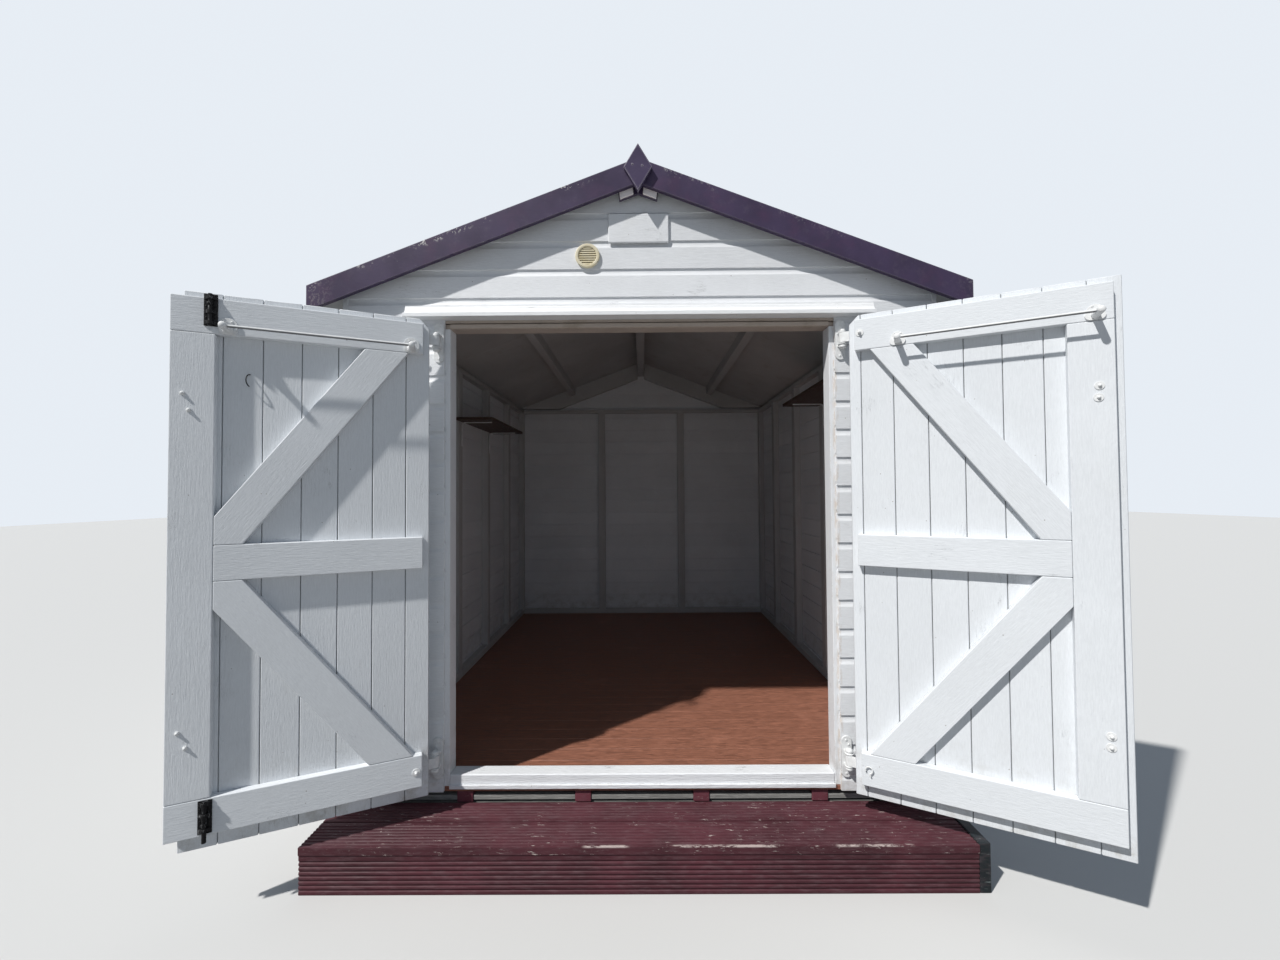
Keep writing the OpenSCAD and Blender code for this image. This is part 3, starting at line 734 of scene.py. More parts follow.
def painted_iron(name, colour, rust=0.3, rough=0.4, scuffs=0.0, under=0.0, sheen=0.5):
    """Thick paint over forged iron, with rust in places, with scuffs of white paint over black, and with painted shade
    darkening its downward faces where under is set.
    """
    f = Finish(name)
    runs = f.noise(f.place, 60, 3, 0.5)
    spots = f.range(f.noise(f.place, 85, 6, 0.7), 0.62, 0.70)
    rusted = f.times(spots, f.range(f.noise(f.place, 12, 2), 0.45, 0.6), rust)
    base = f.over(f.shade(colour, f.range(runs, 0.3, 0.7, 0.93, 1.04)), RUST, rusted)
    if scuffs:
        base = f.over(base, SCUFF, f.range(f.noise(f.stretched((3, 3, 1)), 34, 5, 0.7), 0.60, 0.64), scuffs)
    # Painted shade: the faces that point down are darkened
    if under:
        normal = f.node("ShaderNodeNewGeometry").outputs["Normal"]
        down = f.range(f.node("ShaderNodeSeparateXYZ", Vector=normal).outputs[2], 0.0, -0.35)
        base = f.over(base, PAINTED_UNDERSIDE_SHADE, down, under)
    gloss = f.range(rusted, 0.0, 0.5, rough, 0.8)
    normal = f.bump(f.weighed((runs, 1), (rusted, 0.7)), 0.0009)
    return f.wear(Base_Color=base, Roughness=gloss, Normal=normal, Specular_IOR_Level=sheen)


def mineral_felt(name, colour):
    """Roofing felt with a coat of mineral grit, streaked by the weather."""
    f = Finish(name)
    grit = f.cells(f.place, 420)
    cloud = f.noise(f.place, 3.5, 5, 0.6)
    runs = f.noise(f.stretched((1.5, 14, 1.5)), 6, 6, 0.65)
    base = f.shade(colour, f.range(grit, 0.1, 0.7, 0.7, 1.5))
    base = f.over(base, GRIT_DUST, f.range(runs, 0.45, 0.75), 0.5)
    base = f.over(base, MOSS, f.range(cloud, 0.55, 0.75), 0.35)
    waves = f.noise(f.place, 7, 2)
    return f.wear(Base_Color=base, Roughness=0.9, Normal=f.bump(f.weighed((grit, 0.5), (waves, 3)), 0.0012))


def moulded_plastic(name, colour):
    """Plastic that the sun has dulled and yellowed."""
    f = Finish(name)
    base = f.mix(f.range(f.noise(f.place, 30, 4, 0.6), 0.35, 0.7), colour, tinted(colour, (0.92, 0.88, 0.76)))
    return f.wear(Base_Color=base, Roughness=0.45, Normal=f.bump(f.noise(f.place, 900, 2), 0.0001))


FINISHES = {}


def make_finishes():
    """Every finish of the hut, once."""
    c = colours()
    white, door, inside = tuple(c.white), tuple(c.door), tuple(c.inside)
    aubergine, iron = tuple(c.aubergine), tuple(c.iron)
    across, upright, deep, sloping = (1, 9, 9), (9, 9, 1), (9, 1, 9), (1, 12, 12)
    foot, door_foot = WALL_FOOT, low("left_door_boards").z
    head = tinted(white, (0.60, 0.50, 0.42))
    step = {"front": low("step_boards").y, "top": high("step_boards").z, "rib": sizes().rib_depth}
    FINISHES.update(
        white=brushed_paint("wall_white_paint", white, across, foot=foot, seam=STRIP_X),
        back_white=brushed_paint("back_white_paint", white, across, foot=foot),
        side_white=brushed_paint("side_white_paint", white, deep, foot=foot),
        post=brushed_paint("post_white_paint", white, upright, cracks=0.7, chips=0.6, foot=foot, seam=STRIP_X),
        head=brushed_paint("door_head_paint", head, across, dirt=0.8, cracks=0.8, chips=0.7),
        sill=brushed_paint("sill_white_paint", white, across, cracks=0.7, depth=0.003, chips=0.4),
        drip=brushed_paint("drip_mould_paint", (0.86, 0.87, 0.88), across, tone=0.02, dirt=0.03, cracks=0.1),
        # The plates under the bargeboards: a pale pinkish white, lighter than the walls' white as painted light, for
        # plates in the bargeboards' shade
        batten=brushed_paint("apex_batten_paint", (0.93, 0.87, 0.86), across),
        door=brushed_paint("door_board_paint", door, upright, tone=0.03, dirt=0.06, foot=door_foot),
        # Inside paint: its grey is painted shade
        inside=brushed_paint("inside_white_paint", inside, upright, tone=0.05, dirt=0.2, cracks=0.2, rough=0.6),
        plate=brushed_paint("plate_white_paint", white, across, dirt=0.2, cracks=0.2, chips=0.3),
        aubergine=chipped_paint("aubergine_paint", aubergine, high("front_bargeboards").z),
        finial=chipped_paint("finial_paint", tinted(aubergine, (1.05, 1.1, 1.1)), RIDGE * 2, 0.85),
        burgundy=worn_paint("burgundy_step_paint", tuple(c.burgundy), (0.47, 0.39, 0.37), **step),
        joist=worn_paint("burgundy_joist_paint", tinted(c.burgundy, (1.9, 1.9, 1.9)), (0.45, 0.30, 0.30)),
        slate=worn_paint("slate_board_paint", tuple(c.slate), (0.16, 0.19, 0.19)),
        grey=grey_wood("grey_base_timber", tuple(c.grey)),
        blocking=grey_wood("pale_grey_timber", (0.26, 0.26, 0.245)),
        # The tongues in the doors' joints: dark grey for dirt and for painted shade in the joints
        joint=grey_wood("board_joint_dirt", (0.20, 0.20, 0.20)),
        floor=stained_wood("floor_stain", tuple(c.floor), across),
        shelf=stained_wood("shelf_stain", tuple(c.shelf), deep),
        felt=mineral_felt("mineral_felt", tuple(c.felt)),
        iron=painted_iron("white_iron_paint", iron, rough=0.52),
        # The rails take painted shade on their downward faces
        rail=painted_iron("rail_iron_paint", iron, rough=0.5, under=0.85),
        black=painted_iron("black_iron_paint", tuple(c.black), 0.25, 0.45, 0.35, sheen=0.15),
        cream=moulded_plastic("cream_plastic", tuple(c.cream)),
    )
    planed = {"tone": 0.03, "dirt": 0.06, "cracks": 0.05, "depth": 0.0011, "chips": 0.2}
    for leaf in (LEFT, RIGHT):
        for part, tilt in leaf.tilts.items():
            name = "%s_%s_paint" % (leaf.key, part)
            FINISHES[name] = brushed_paint(name, door, across, leaf.level, tilt, **planed)
    sooty = {"tone": 0.08, "dirt": 0.45, "cracks": 0.5, "rough": 0.65, "depth": 0.0025}
    # The roof's boards inside take the inside colour, with its painted shade
    for key, tilt in (("roof_right", -PITCH), ("roof_left", PITCH)):
        FINISHES[key] = brushed_paint(key + "_paint", inside, sloping, 0, tilt, **sooty)


def finish_timber(node, finish, width=None, segments=2):
    """Finishes a node as plain timber with rounded edges."""
    return settle(eased(timber(node), width, segments), FINISHES[finish], "hut", node)


# Weatherboarding

# Heights of a joint between two boards, on the front gable and on the walls
GABLE_JOINT = 2.2194
WALL_JOINT = 1.3221
# How much of the hollow along a board's top edge slopes, the rest being upright, and the play round a tongue
COVE_SLOPE = 0.72
TONGUE_PLAY = (0.0006, 0.0004)


def weatherboard(name, run):
    """One weatherboard along X: a flat face, a cove along its top, and a tongue behind the next board."""
    b = sizes()
    cover, cove, depth, back = b.cover, b.cove_height, b.cove_depth, BOARD_DEPTH
    curve = [
        (depth * math.sin(math.radians(a)), cover - cove + cove * COVE_SLOPE * a / 90) for a in range(0, 91, 15)
    ]
    curve.append((depth, cover))
    tongue_front = depth + TONGUE_PLAY[0]
    rebate = tongue_front - TONGUE_PLAY[1]
    points = [(0, b.joint_gap), *curve, (tongue_front, cover + b.tongue), (back, cover + b.tongue)]
    heel = b.tongue + b.inner_gap
    points += [(back, heel), (rebate, heel), (rebate, b.joint_gap)]
    return prism(name, [(0, y, z) for y, z in points], (run, 0, 0))


def boarding(name, start, end, foot, top, joint_z):
    """Weatherboards along X from start to end, between two heights, with a joint at joint_z, facing -Y at y = 0."""
    cover = sizes().cover
    first = math.floor((foot - joint_z) / cover)
    last = math.ceil((top - joint_z) / cover)
    board = weatherboard(name, end - start)
    modifier(board, "BEVEL", width=0.0007, segments=1, limit_method="ANGLE", angle_limit=math.radians(50))
    modifier(
        board,
        "ARRAY",
        count=last - first,
        use_relative_offset=False,
        use_constant_offset=True,
        constant_offset_displace=(0, 0, cover),
    )
    board.location = (start, 0, joint_z + first * cover)
    bake_place(board)
    cut(board, (0, 0, foot), -Z)
    cut(board, (0, 0, top), Z)
    return board


def cut_under_roof(piece):
    """Cuts a wall off along both slopes of the roof."""
    for side in (-1, 1):
        normal = Vector((side * math.sin(PITCH), 0, math.cos(PITCH)))
        cut(piece, (0, 0, RIDGE), normal)
    return piece


def corner_bead(name, x, y, foot, top):
    """A square bead that closes a corner of the hut."""
    bead = sizes().corner_bead
    inward = -math.copysign(bead, x)
    back = -math.copysign(BOARD_DEPTH, y)
    piece = block(name, (x, y, foot), (x + inward, y + back, top))
    return eased(piece, 0.003)


# Small fittings, made flat: X to the right, Y up and Z out of the face that they sit on


def screw_head(name, radius, turn=0.5):
    """A raised screw head with its slot."""
    head = dome("head", (0, 0, 0), radius, (1, 1, 0.45), 16, 8)
    cut(head, (0, 0, -radius * 0.1), -Z)
    slot = block("slot", (-radius * 1.2, -radius * 0.14, radius * 0.15), (radius * 1.2, radius * 0.14, radius))
    turned(slot, turn)
    modifier(head, "BOOLEAN", operation="DIFFERENCE", object=slot, solver="EXACT")
    bpy.data.objects.remove(slot)
    head.name = name
    return smooth(head)


def screw_head_at(place, radius, turn):
    """A screw head in its place on a fitting that is still flat."""
    head = screw_head("screw", radius, turn)
    head.location = place
    return bake_place(head)


def row_of(piece, places):
    """Copies of a piece at each of the places, and the first one gone."""
    copies = [copy_of(piece, piece.name, place) for place in places]
    bpy.data.objects.remove(piece)
    return copies


# The end of a bolt: its radius, its nut's and the thickness of its washer
BOLT_RADIUS = 0.0045
NUT_RADIUS = 0.0066
WASHER_THICK = 0.0026


def bolt_end(washer, stick_out):
    """The end of a bolt that comes through a door: a washer, a nut and the bolt's rounded end."""
    disc = eased(rod("washer", (0, 0, 0), (0, 0, WASHER_THICK), washer, 28), 0.001, 2)
    nut = eased(rod("nut", (0, 0, WASHER_THICK - 0.0004), (0, 0, stick_out * 0.6), NUT_RADIUS, 6), 0.0008)
    end = rod("end", (0, 0, WASHER_THICK - 0.0006), (0, 0, stick_out), BOLT_RADIUS, 16)
    tip = dome("tip", (0, 0, stick_out), BOLT_RADIUS, (1, 1, 0.6), 16, 8)
    return joined("bolt_end", [disc, nut, smooth(end), smooth(tip)])


def bent_rod(name, places, radius, vertices=12):
    """A rod that runs from place to place with round elbows."""
    pieces = [rod(name, here, there, radius, vertices) for here, there in zip(places, places[1:])]
    pieces += [dome(name, place, radius, segments=vertices, rings=8) for place in places]
    return smooth(joined(name, pieces))


def arc(centre, radius, start, end, steps, plane=(X, Z)):
    """Places along an arc, with its angles in degrees."""
    places = []
    for step in range(steps + 1):
        angle = math.radians(start + (end - start) * step / steps)
        places.append(Vector(centre) + plane[0] * radius * math.cos(angle) + plane[1] * radius * math.sin(angle))
    return places


# The pieces of the hut, each made by its own operator


class MakeWalls(bpy.types.Operator):
    """Boards the walls and the gables, with beads on the corners"""

    bl_idname = "hut.walls"
    bl_label = "Walls"

    def execute(self, context):
        bead = sizes().corner_bead
        reach = HALF_WIDTH - bead
        gable = boarding("front_gable_boards", -reach, reach, GABLE_FOOT, RIDGE, GABLE_JOINT)
        gable.location.y = FRONT
        bake_place(gable)
        beads = [corner_bead("bead", side * HALF_WIDTH, FRONT, GABLE_FOOT, RIDGE) for side in (-1, 1)]
        gable = smooth(cut_under_roof(joined("front_gable_boards", [gable, *beads])))
        settle(gable, FINISHES["white"], "hut", "front_gable")

        strip = boarding("front_wall_boards", STRIP_X, reach, WALL_FOOT, GABLE_FOOT, WALL_JOINT)
        strip.location.y = FRONT
        bake_place(strip)
        strip = joined("front_wall_boards", [strip, corner_bead("bead", HALF_WIDTH, FRONT, WALL_FOOT, GABLE_FOOT)])
        strips = joined("front_wall_boards", [strip, mirrored(strip, "strip")])
        settle(smooth(strips), FINISHES["white"], "hut", "front_wall")

        back = boarding("back_wall_boards", -reach, reach, WALL_FOOT, RIDGE, WALL_JOINT)
        turned(back, math.pi)
        back.location.y = BACK
        bake_place(back)
        beads = [corner_bead("bead", side * HALF_WIDTH, BACK, WALL_FOOT, RIDGE) for side in (-1, 1)]
        back = smooth(cut_under_roof(joined("back_wall_boards", [back, *beads])))
        settle(back, FINISHES["back_white"], "hut", "back_wall")

        for side, node in ((1, "right_wall"), (-1, "left_wall")):
            edge = BOARD_DEPTH
            wall = boarding(node + "_boards", FRONT + edge, BACK - edge, WALL_FOOT, high(node).z, WALL_JOINT)
            turned(wall, math.radians(90))
            wall.location.x = HALF_WIDTH
            bake_place(wall)
            if side < 0:
                turned(wall, math.pi)
            settle(smooth(cut_under_roof(wall)), FINISHES["side_white"], "hut", node)
        return {"FINISHED"}


class MakeWallFrame(bpy.types.Operator):
    """Finishes the studs, plates, rafters, ridge beam and purlins inside"""

    bl_idname = "hut.wall_frame"
    bl_label = "Wall frame"

    # The slit between the side plates and the roof's boards
    SLIT = 0.014

    def execute(self, context):
        finish_timber("wall_studs", "inside")
        plates = cut(timber("wall_plates"), (0, 0, high("wall_plates").z - self.SLIT), Z)
        settle(eased(plates), FINISHES["inside"], "hut", "wall_plates")
        for node in ("gable_rafters", "ridge_beam", "purlins"):
            finish_timber(node, "inside")
        return {"FINISHED"}


class MakeDoorway(bpy.types.Operator):
    """Finishes the door frame and the drip moulding over it"""

    bl_idname = "hut.doorway"
    bl_label = "Doorway"

    # The strip under the sill: how far down it starts, its height and how far it stands out
    LIP_FOOT = 0.008
    LIP_HEIGHT = 0.016
    LIP_OUT = 0.009
    # The bead along the head's lower edge, which clears the closed doors, and the open seam over it
    BEAD_HEIGHT = 0.019
    BEAD_OUT = 0.005
    SEAM = 0.0035
    # The drip moulding: the height of its lip, the depth of its top, and its hollow between the two
    DRIP_LIP = 0.016
    DRIP_TOP = 0.018
    DRIP_HOLLOW = (0.92, 0.80)
    DRIP_STEPS = 5
    DRIP_CAP = 0.006

    def execute(self, context):
        finish_timber("door_posts", "post", 0.003)
        settle(self.head(), FINISHES["head"], "hut", "door_head")
        settle(self.sill(), FINISHES["sill"], "hut", "door_sill")
        settle(self.moulding(), FINISHES["drip"], "hut", "drip_mould")
        return {"FINISHED"}

    def head(self):
        """The head with a bead along its lower edge and an open seam over the bead."""
        corner, reach = low("door_head"), nearest_x("door_posts")
        seam = corner.z + self.BEAD_HEIGHT
        upper = cut(timber("door_head"), (0, 0, seam + self.SEAM), -Z)
        lower = cut(timber("door_head"), (0, 0, seam), Z)
        lower = cut(lower, (0, corner.y + self.BEAD_OUT, 0), -Y)
        bead = block("bead", (-reach, corner.y - self.BEAD_OUT, corner.z), (reach, corner.y + self.BEAD_OUT, seam))
        return joined("door_head_finished", [eased(upper, 0.003), eased(lower, 0.002), eased(bead, 0.004, 3)])

    def sill(self):
        """The sill and the strip under it that covers the ends of the floor boards."""
        corner, opposite = low("door_sill"), high("door_sill")
        foot = corner.z - self.LIP_FOOT
        strip = block(
            "strip", (corner.x, corner.y - self.LIP_OUT, foot), (opposite.x, corner.y, foot + self.LIP_HEIGHT)
        )
        return joined("door_sill_finished", [eased(timber("door_sill"), 0.005, 3), eased(strip, 0.002)])

    def moulding(self):
        """A drip moulding with a sloping cove and a square lip, its ends returned to the wall."""
        foot, top = low("drip_mould").z, high("drip_mould").z
        reach = high("drip_mould").x
        out = FRONT - low("drip_mould").y
        lip = foot + self.DRIP_LIP
        profile = [(0, foot), (out, foot), (out, lip)]
        deep, tall = (out - self.DRIP_TOP) * self.DRIP_HOLLOW[0], (top - lip) * self.DRIP_HOLLOW[1]
        for step in range(1, self.DRIP_STEPS + 1):
            a = math.pi / 2 * step / self.DRIP_STEPS
            profile.append((out - deep * math.sin(a), lip + tall * (1 - math.cos(a))))
        profile += [(self.DRIP_TOP, top - self.DRIP_CAP), (self.DRIP_TOP, top), (0, top)]
        points = [(-reach, FRONT - y, z) for y, z in profile]
        piece = prism("drip_moulding", points, (2 * reach, 0, 0))
        return eased(piece, 0.0012, 2, 30)


class MakeRoof(bpy.types.Operator):
    """Boards the roof and lays the felt"""

    bl_idname = "hut.roof"
    bl_label = "Roof"

    def execute(self, context):
        sheet = sizes().roof_sheet
        start, end = low("roof_right").y, high("roof_right").y
        joints = [start + sheet * step for step in range(1, int((end - start) / sheet) + 1)]
        for node in ("roof_right", "roof_left"):
            sheets = sliced(timber(node), joints, Y, 0.002)
            settle(eased(sheets, 0.0015, 1), FINISHES[node], "hut", node)
        finish_timber("roof_felt", "felt", 0.0015)
        return {"FINISHED"}


class MakeBargeboards(bpy.types.Operator):
    """Finishes the bargeboards, the eaves boards, the diamond finials and the battens behind them"""

    bl_idname = "hut.bargeboards"
    bl_label = "Bargeboards"

    # A finial's screws: their places from its middle, their heights as shares of its height, and their size
    SCREWS = ((-0.022, 0.55), (0.017, 0.52))
    SCREW_RADIUS = 0.0036
    # The plates behind the bargeboards: their ends from the middle, their tops and feet under the roof line
    PLATE = (0.026, 0.080, 0.010, 0.066)
    PLATE_LEAN = 0.007
    PLATE_DEPTH = 0.010
    # How far the dark plate, a painted shade, reaches past the white ones
    PLATE_SHADE_MARGIN = 0.004

    def execute(self, context):
        for node in ("front_bargeboards", "back_bargeboards"):
            finish_timber(node, "aubergine", 0.003, 3)
        finish_timber("eaves_boards", "aubergine", 0.003)
        settle(self.finials(), FINISHES["finial"], "hut", "finials")
        settle(self.battens(), None, "hut", "apex_battens")
        return {"FINISHED"}

    def battens(self):
        """Battens behind the bargeboards, with white plates that show under the bargeboards on a dark plate, which is
        painted shade behind and round them.
        """
        pieces = [painted(eased(timber("apex_battens")), FINISHES["white"])]
        near, far, top, foot = self.PLATE
        face, rim = high("front_bargeboards").y, self.PLATE_SHADE_MARGIN
        plates = (
            (near, far, foot, face, FINISHES["batten"]),
            # The dark plate stands for the shade behind the finial and round the white plates
            (0.0, far + rim, foot + rim, face + self.PLATE_DEPTH, FINISHES["aubergine"]),
        )
        for start, end, drop, front, finish in plates:
            for side in (-1, 1):
                lean = min(start, self.PLATE_LEAN)
                corners = ((start, top), (end, top), (end - self.PLATE_LEAN, drop), (start - lean, drop))
                points = [(side * x, front, roof_line(x) - under) for x, under in corners]
                plate = painted(eased(prism("plate", points, Y * self.PLATE_DEPTH), 0.001, 1), finish)
                pieces += [plate, turned(copy_of(plate, "plate"), math.pi)]
        return joined("apex_battens_finished", pieces)

    def finials(self):
        """Two diamonds with bevelled edges, each held by two screws."""
        corner, opposite = low("finials"), high("finials")
        pieces = [eased(timber("finials"), 0.003, 3)]
        for face, out in ((corner.y, -Y), (opposite.y, Y)):
            for x, share in self.SCREWS:
                z = corner.z + (opposite.z - corner.z) * share
                pieces.append(facing(screw_head("finial_screw", self.SCREW_RADIUS), Vector((x, face, z)), out))
        return joined("diamond_finials", pieces)


class MakeGableFittings(bpy.types.Operator):
    """Makes the bare number plate and the round vent"""

    bl_idname = "hut.gable_fittings"
    bl_label = "Gable fittings"

    # How much of the number plate's thickness is planed off its front
    PLANED = 0.007
    # The vent: its opening as a share of its radius, how deep it goes, and its slats' number, thickness and tilt
    RIM_SHARE = 0.74
    SUNK = 0.7
    SLATS = 8
    SLAT_THICK = 0.0024
    SLAT_SHARE = 0.84
    SLAT_TILT = math.radians(-38)

    def execute(self, context):
        plate = cut(timber("number_plate"), (0, low("number_plate").y + self.PLANED, 0), -Y)
        settle(eased(plate, 0.004, 3), FINISHES["plate"], "hut", "number_plate")
        settle(self.vent(), FINISHES["cream"], "hut", "vent")
        return {"FINISHED"}

    def vent(self):
        """A round flange with a raised rim and slats that shed rain."""
        corner, opposite = low("vent"), high("vent")
        centre = (corner + opposite) / 2
        centre.y = FRONT
        radius = (opposite.x - corner.x) / 2
        depth = opposite.y - corner.y
        rim = radius * self.RIM_SHARE
        idle()
        bpy.ops.mesh.primitive_cylinder_add(
            vertices=64, radius=radius, depth=depth, location=centre - Y * depth / 2, rotation=(math.radians(90), 0, 0)
        )
        flange = named("vent_flange")
        edit(flange, "FACE")
        bpy.ops.mesh.select_all(action="DESELECT")
        idle()
        for face in flange.data.polygons:
            face.select = face.normal.y < -0.9
        bpy.ops.object.mode_set(mode="EDIT")
        bpy.ops.mesh.inset(thickness=radius - rim)
        bpy.ops.mesh.extrude_region_move(TRANSFORM_OT_translate={"value": Y * depth * self.SUNK})
        idle()
        eased(flange, 0.0035, 4, 30)
        slats = []
        pitch = 2 * rim / self.SLATS
        thick, tall = self.SLAT_THICK / 2, pitch * self.SLAT_SHARE / 2
        for step in range(self.SLATS):
            z = (step + 0.5) * pitch - rim
            half = math.sqrt(max(rim * rim - z * z, 0)) - 0.0005
            slat = turned(block("slat", (-half, -thick, -tall), (half, thick, tall)), self.SLAT_TILT, "X")
            slat.location = centre + Vector((0, -depth * 0.55, z))
            slats.append(eased(bake_place(slat), 0.0006, 1))
        return joined("gable_vent", [flange, *slats])


class MakeBase(bpy.types.Operator):
    """Finishes the bearers, the joists, the blocking and the floor"""

    bl_idname = "hut.base"
    bl_label = "Base"

    def execute(self, context):
        finish_timber("bearers", "grey", 0.004)
        finish_timber("floor_joists", "joist", 0.003)
        finish_timber("joist_blocking", "blocking")
        width = sizes().floor_board
        start, end = low("floor").y, high("floor").y
        count = int((end - start) / width)
        boards = sliced(timber("floor"), [start + width * step for step in range(1, count + 1)], Y)
        settle(eased(boards, 0.0015, 1), FINISHES["floor"], "hut", "floor")
        return {"FINISHED"}


# A groove between two ribs: places as shares of the pitch, with their depths as shares of the groove's
GROOVE = ((0.0, 0), (0.12, 0.7), (0.25, 1), (0.38, 0.7), (0.5, 0))
# The least plain margins beside the ribs, on a board's top and on its front
TOP_MARGIN = 0.012
FRONT_MARGIN = 0.006


def ribbed(name, corner, opposite, upper):
    """A board along X between two corners, with ribs on its top, or on its front where upper is false."""
    b = sizes()
    (start, front, foot), (end, back, top) = corner, opposite
    wide, margin = (back - front, TOP_MARGIN) if upper else (top - foot, FRONT_MARGIN)
    count = int((wide - 2 * margin) / b.rib_pitch)
    margin = (wide - count * b.rib_pitch) / 2
    face = []
    for step in range(count):
        at = margin + step * b.rib_pitch
        face += [(at + share * b.rib_pitch, sink * b.rib_depth) for share, sink in GROOVE]
    if upper:
        points = [(start, front, foot), (start, front, top)]
        points += [(start, front + at, top - sink) for at, sink in face]
        points += [(start, back, top), (start, back, foot)]
    else:
        points = [(start, back, foot), (start, front, foot)]
        points += [(start, front + sink, foot + at) for at, sink in face]
        points += [(start, front, top), (start, back, top)]
    return prism(name, points, (end - start, 0, 0))


class MakeStep(bpy.types.Operator):
    """Makes the ribbed step, its bearers and its end board"""

    bl_idname = "hut.step"
    bl_label = "Step"

    # The front board's width, the gap behind it, and the rounding of the ribs
    BOARD = 0.140
    GAP = 0.005
    ROUND = {"width": 0.0022, "segments": 2, "angle": 50}

    def execute(self, context):
        corner, opposite = low("step_boards"), high("step_boards")
        gap = corner.y + self.BOARD
        front = ribbed("step_front_board", corner, (opposite.x, gap, opposite.z), True)
        back = ribbed("step_back_board", (corner.x, gap + self.GAP, corner.z), opposite, True)
        boards = joined("step_ribbed_boards", [eased(front, **self.ROUND), eased(back, **self.ROUND)])
        settle(boards, FINISHES["burgundy"], "hut", "step_boards")
        fascia = ribbed("step_ribbed_fascia", low("step_fascia"), high("step_fascia"), False)
        settle(eased(fascia, **self.ROUND), FINISHES["burgundy"], "hut", "step_fascia")
        finish_timber("step_bearers", "grey", 0.003)
        finish_timber("step_end", "slate", 0.004, 3)
        return {"FINISHED"}


class MakeHinges(bpy.types.Operator):
    """Finishes the hook plates with their cups and screws, and the long straps"""

    bl_idname = "hut.hinges"
    bl_label = "Hinges"

    # A hook plate's screws: their size, and their places from the plate's middle, outwards and up
    SCREW_RADIUS = 0.0055
    SCREWS = ((-0.002, -0.066), (0.008, 0.048), (-0.002, 0.066))
    # Half of a hook plate's height, its thickness, and how much of the lugs' plate stays on each side of the pin
    PLATE_HALF = 0.082
    PLATE_THICK = 0.0062
    LUG_HALF = 0.045
    # Rings round the pin: how far from the strap each starts and ends, its radius and its rounding
    CUP = ((0.0025, 0.0065, 0.0178, 0.0015), (0.006, 0.023, 0.0150, 0.0085))
    CAP = ((0.0030, 0.0070, 0.0125, 0.0015), (0.0065, 0.016, 0.0095, 0.0045))
    # Where a strap starts to taper, its width at its tip as a share, and the places of its bolts
    TAPER_FROM = 0.30
    TIP_SHARE = 0.45
    BOLTS = (0.11, 0.25, 0.39, 0.53)
    BOLT_RADIUS = 0.0095

    def execute(self, context):
        settle(self.hook_plates(), FINISHES["iron"], "hut", "hook_plates")
        for leaf in (LEFT, RIGHT):
            node = leaf.key + "_door_straps"
            settle(self.straps(leaf, node), FINISHES["iron"], leaf.body, node)
        return {"FINISHED"}

    def heights(self):
        """The heights of the middles of the two hinges."""
        half = self.width() / 2
        return low("left_door_straps").z + half, high("left_door_straps").z - half

    def width(self):
        """The width of a strap, from the lowest edges of the left door's straps."""
        heights = sorted({round(v.co.z, 5) for v in frame["nodes"]["left_door_straps"].data.vertices})
        return heights[1] - heights[0]

    def hook_plates(self):
        """Round-ended plates with lugs, and stacked rings under and over each eye, under thick paint."""
        heights = self.heights()
        pieces = []
        for lug in loose_parts(timber("hook_plates")):
            at = sum(v.co.z for v in lug.data.vertices) / len(lug.data.vertices)
            z = min(heights, key=lambda height: abs(height - at))
            cut(lug, (0, 0, z + self.LUG_HALF), Z)
            cut(lug, (0, 0, z - self.LUG_HALF), -Z)
            pieces.append(eased(lug, 0.0018, 2))
        plate = high("hook_plates")
        edge = nearest_x("front_wall")
        wide = (plate.x - edge) / 2
        face = FRONT - self.PLATE_THICK
        half = self.width() / 2
        for leaf in (LEFT, RIGHT):
            middle = leaf.side * (edge + wide)
            for z in heights:
                outline = arc((middle, FRONT, z + self.PLATE_HALF - wide), wide, 0, 180, 12)
                outline += arc((middle, FRONT, z - self.PLATE_HALF + wide), wide, 180, 360, 12)
                pieces.append(eased(prism("plate", outline, -Y * self.PLATE_THICK), 0.002, 2))
                for way, rings in ((-1, self.CUP), (1, self.CAP if z == max(heights) else self.CUP)):
                    for near, far, radius, edge_radius in rings:
                        levels = sorted((z + way * (half + near), z + way * (half + far)))
                        start, end = (Vector((leaf.pin.x, leaf.pin.y, level)) for level in levels)
                        pieces.append(eased(rod("ring", start, end, radius, 28), edge_radius, 4, 50))
                for across, up in self.SCREWS:
                    head = screw_head("hook_screw", self.SCREW_RADIUS, 0.4 + up * 20)
                    pieces.append(facing(head, Vector((middle + across * leaf.side, face, z + up)), -Y))
        return smooth(joined("hinge_hook_plates", pieces))

    def straps(self, leaf, node):
        """Long straps that taper to their tips, each with a row of domed bolts."""
        tip = leaf.span(node, leaf.along)[1]
        face = leaf.span(node, leaf.out)[0]
        half = self.width() / 2
        pieces = []
        piece = timber(node)
        for z in self.heights():
            band = copy_of(piece, "strap")
            cut(band, (0, 0, z + half + 0.01), Z)
            cut(band, (0, 0, z - half - 0.01), -Z)
            for way in (-1, 1):
                slope = Vector((0, 0, way)) * (tip - self.TAPER_FROM) + leaf.along * half * (1 - self.TIP_SHARE)
                cut(band, leaf.point(self.TAPER_FROM, 0, z + way * half), slope.normalized())
            pieces.append(eased(band, 0.0012, 2))
            bolt = dome("bolt", (0, 0, 0), self.BOLT_RADIUS, (1, 1, 0.5), 20, 10)
            cut(bolt, (0, 0, -0.0005), -Z)
            for s in self.BOLTS:
                pieces.append(facing(copy_of(bolt, "bolt"), leaf.point(s, face, z), -leaf.out))
            bpy.data.objects.remove(bolt)
        bpy.data.objects.remove(piece)
        return smooth(joined(leaf.key + "_hinge_straps", pieces))


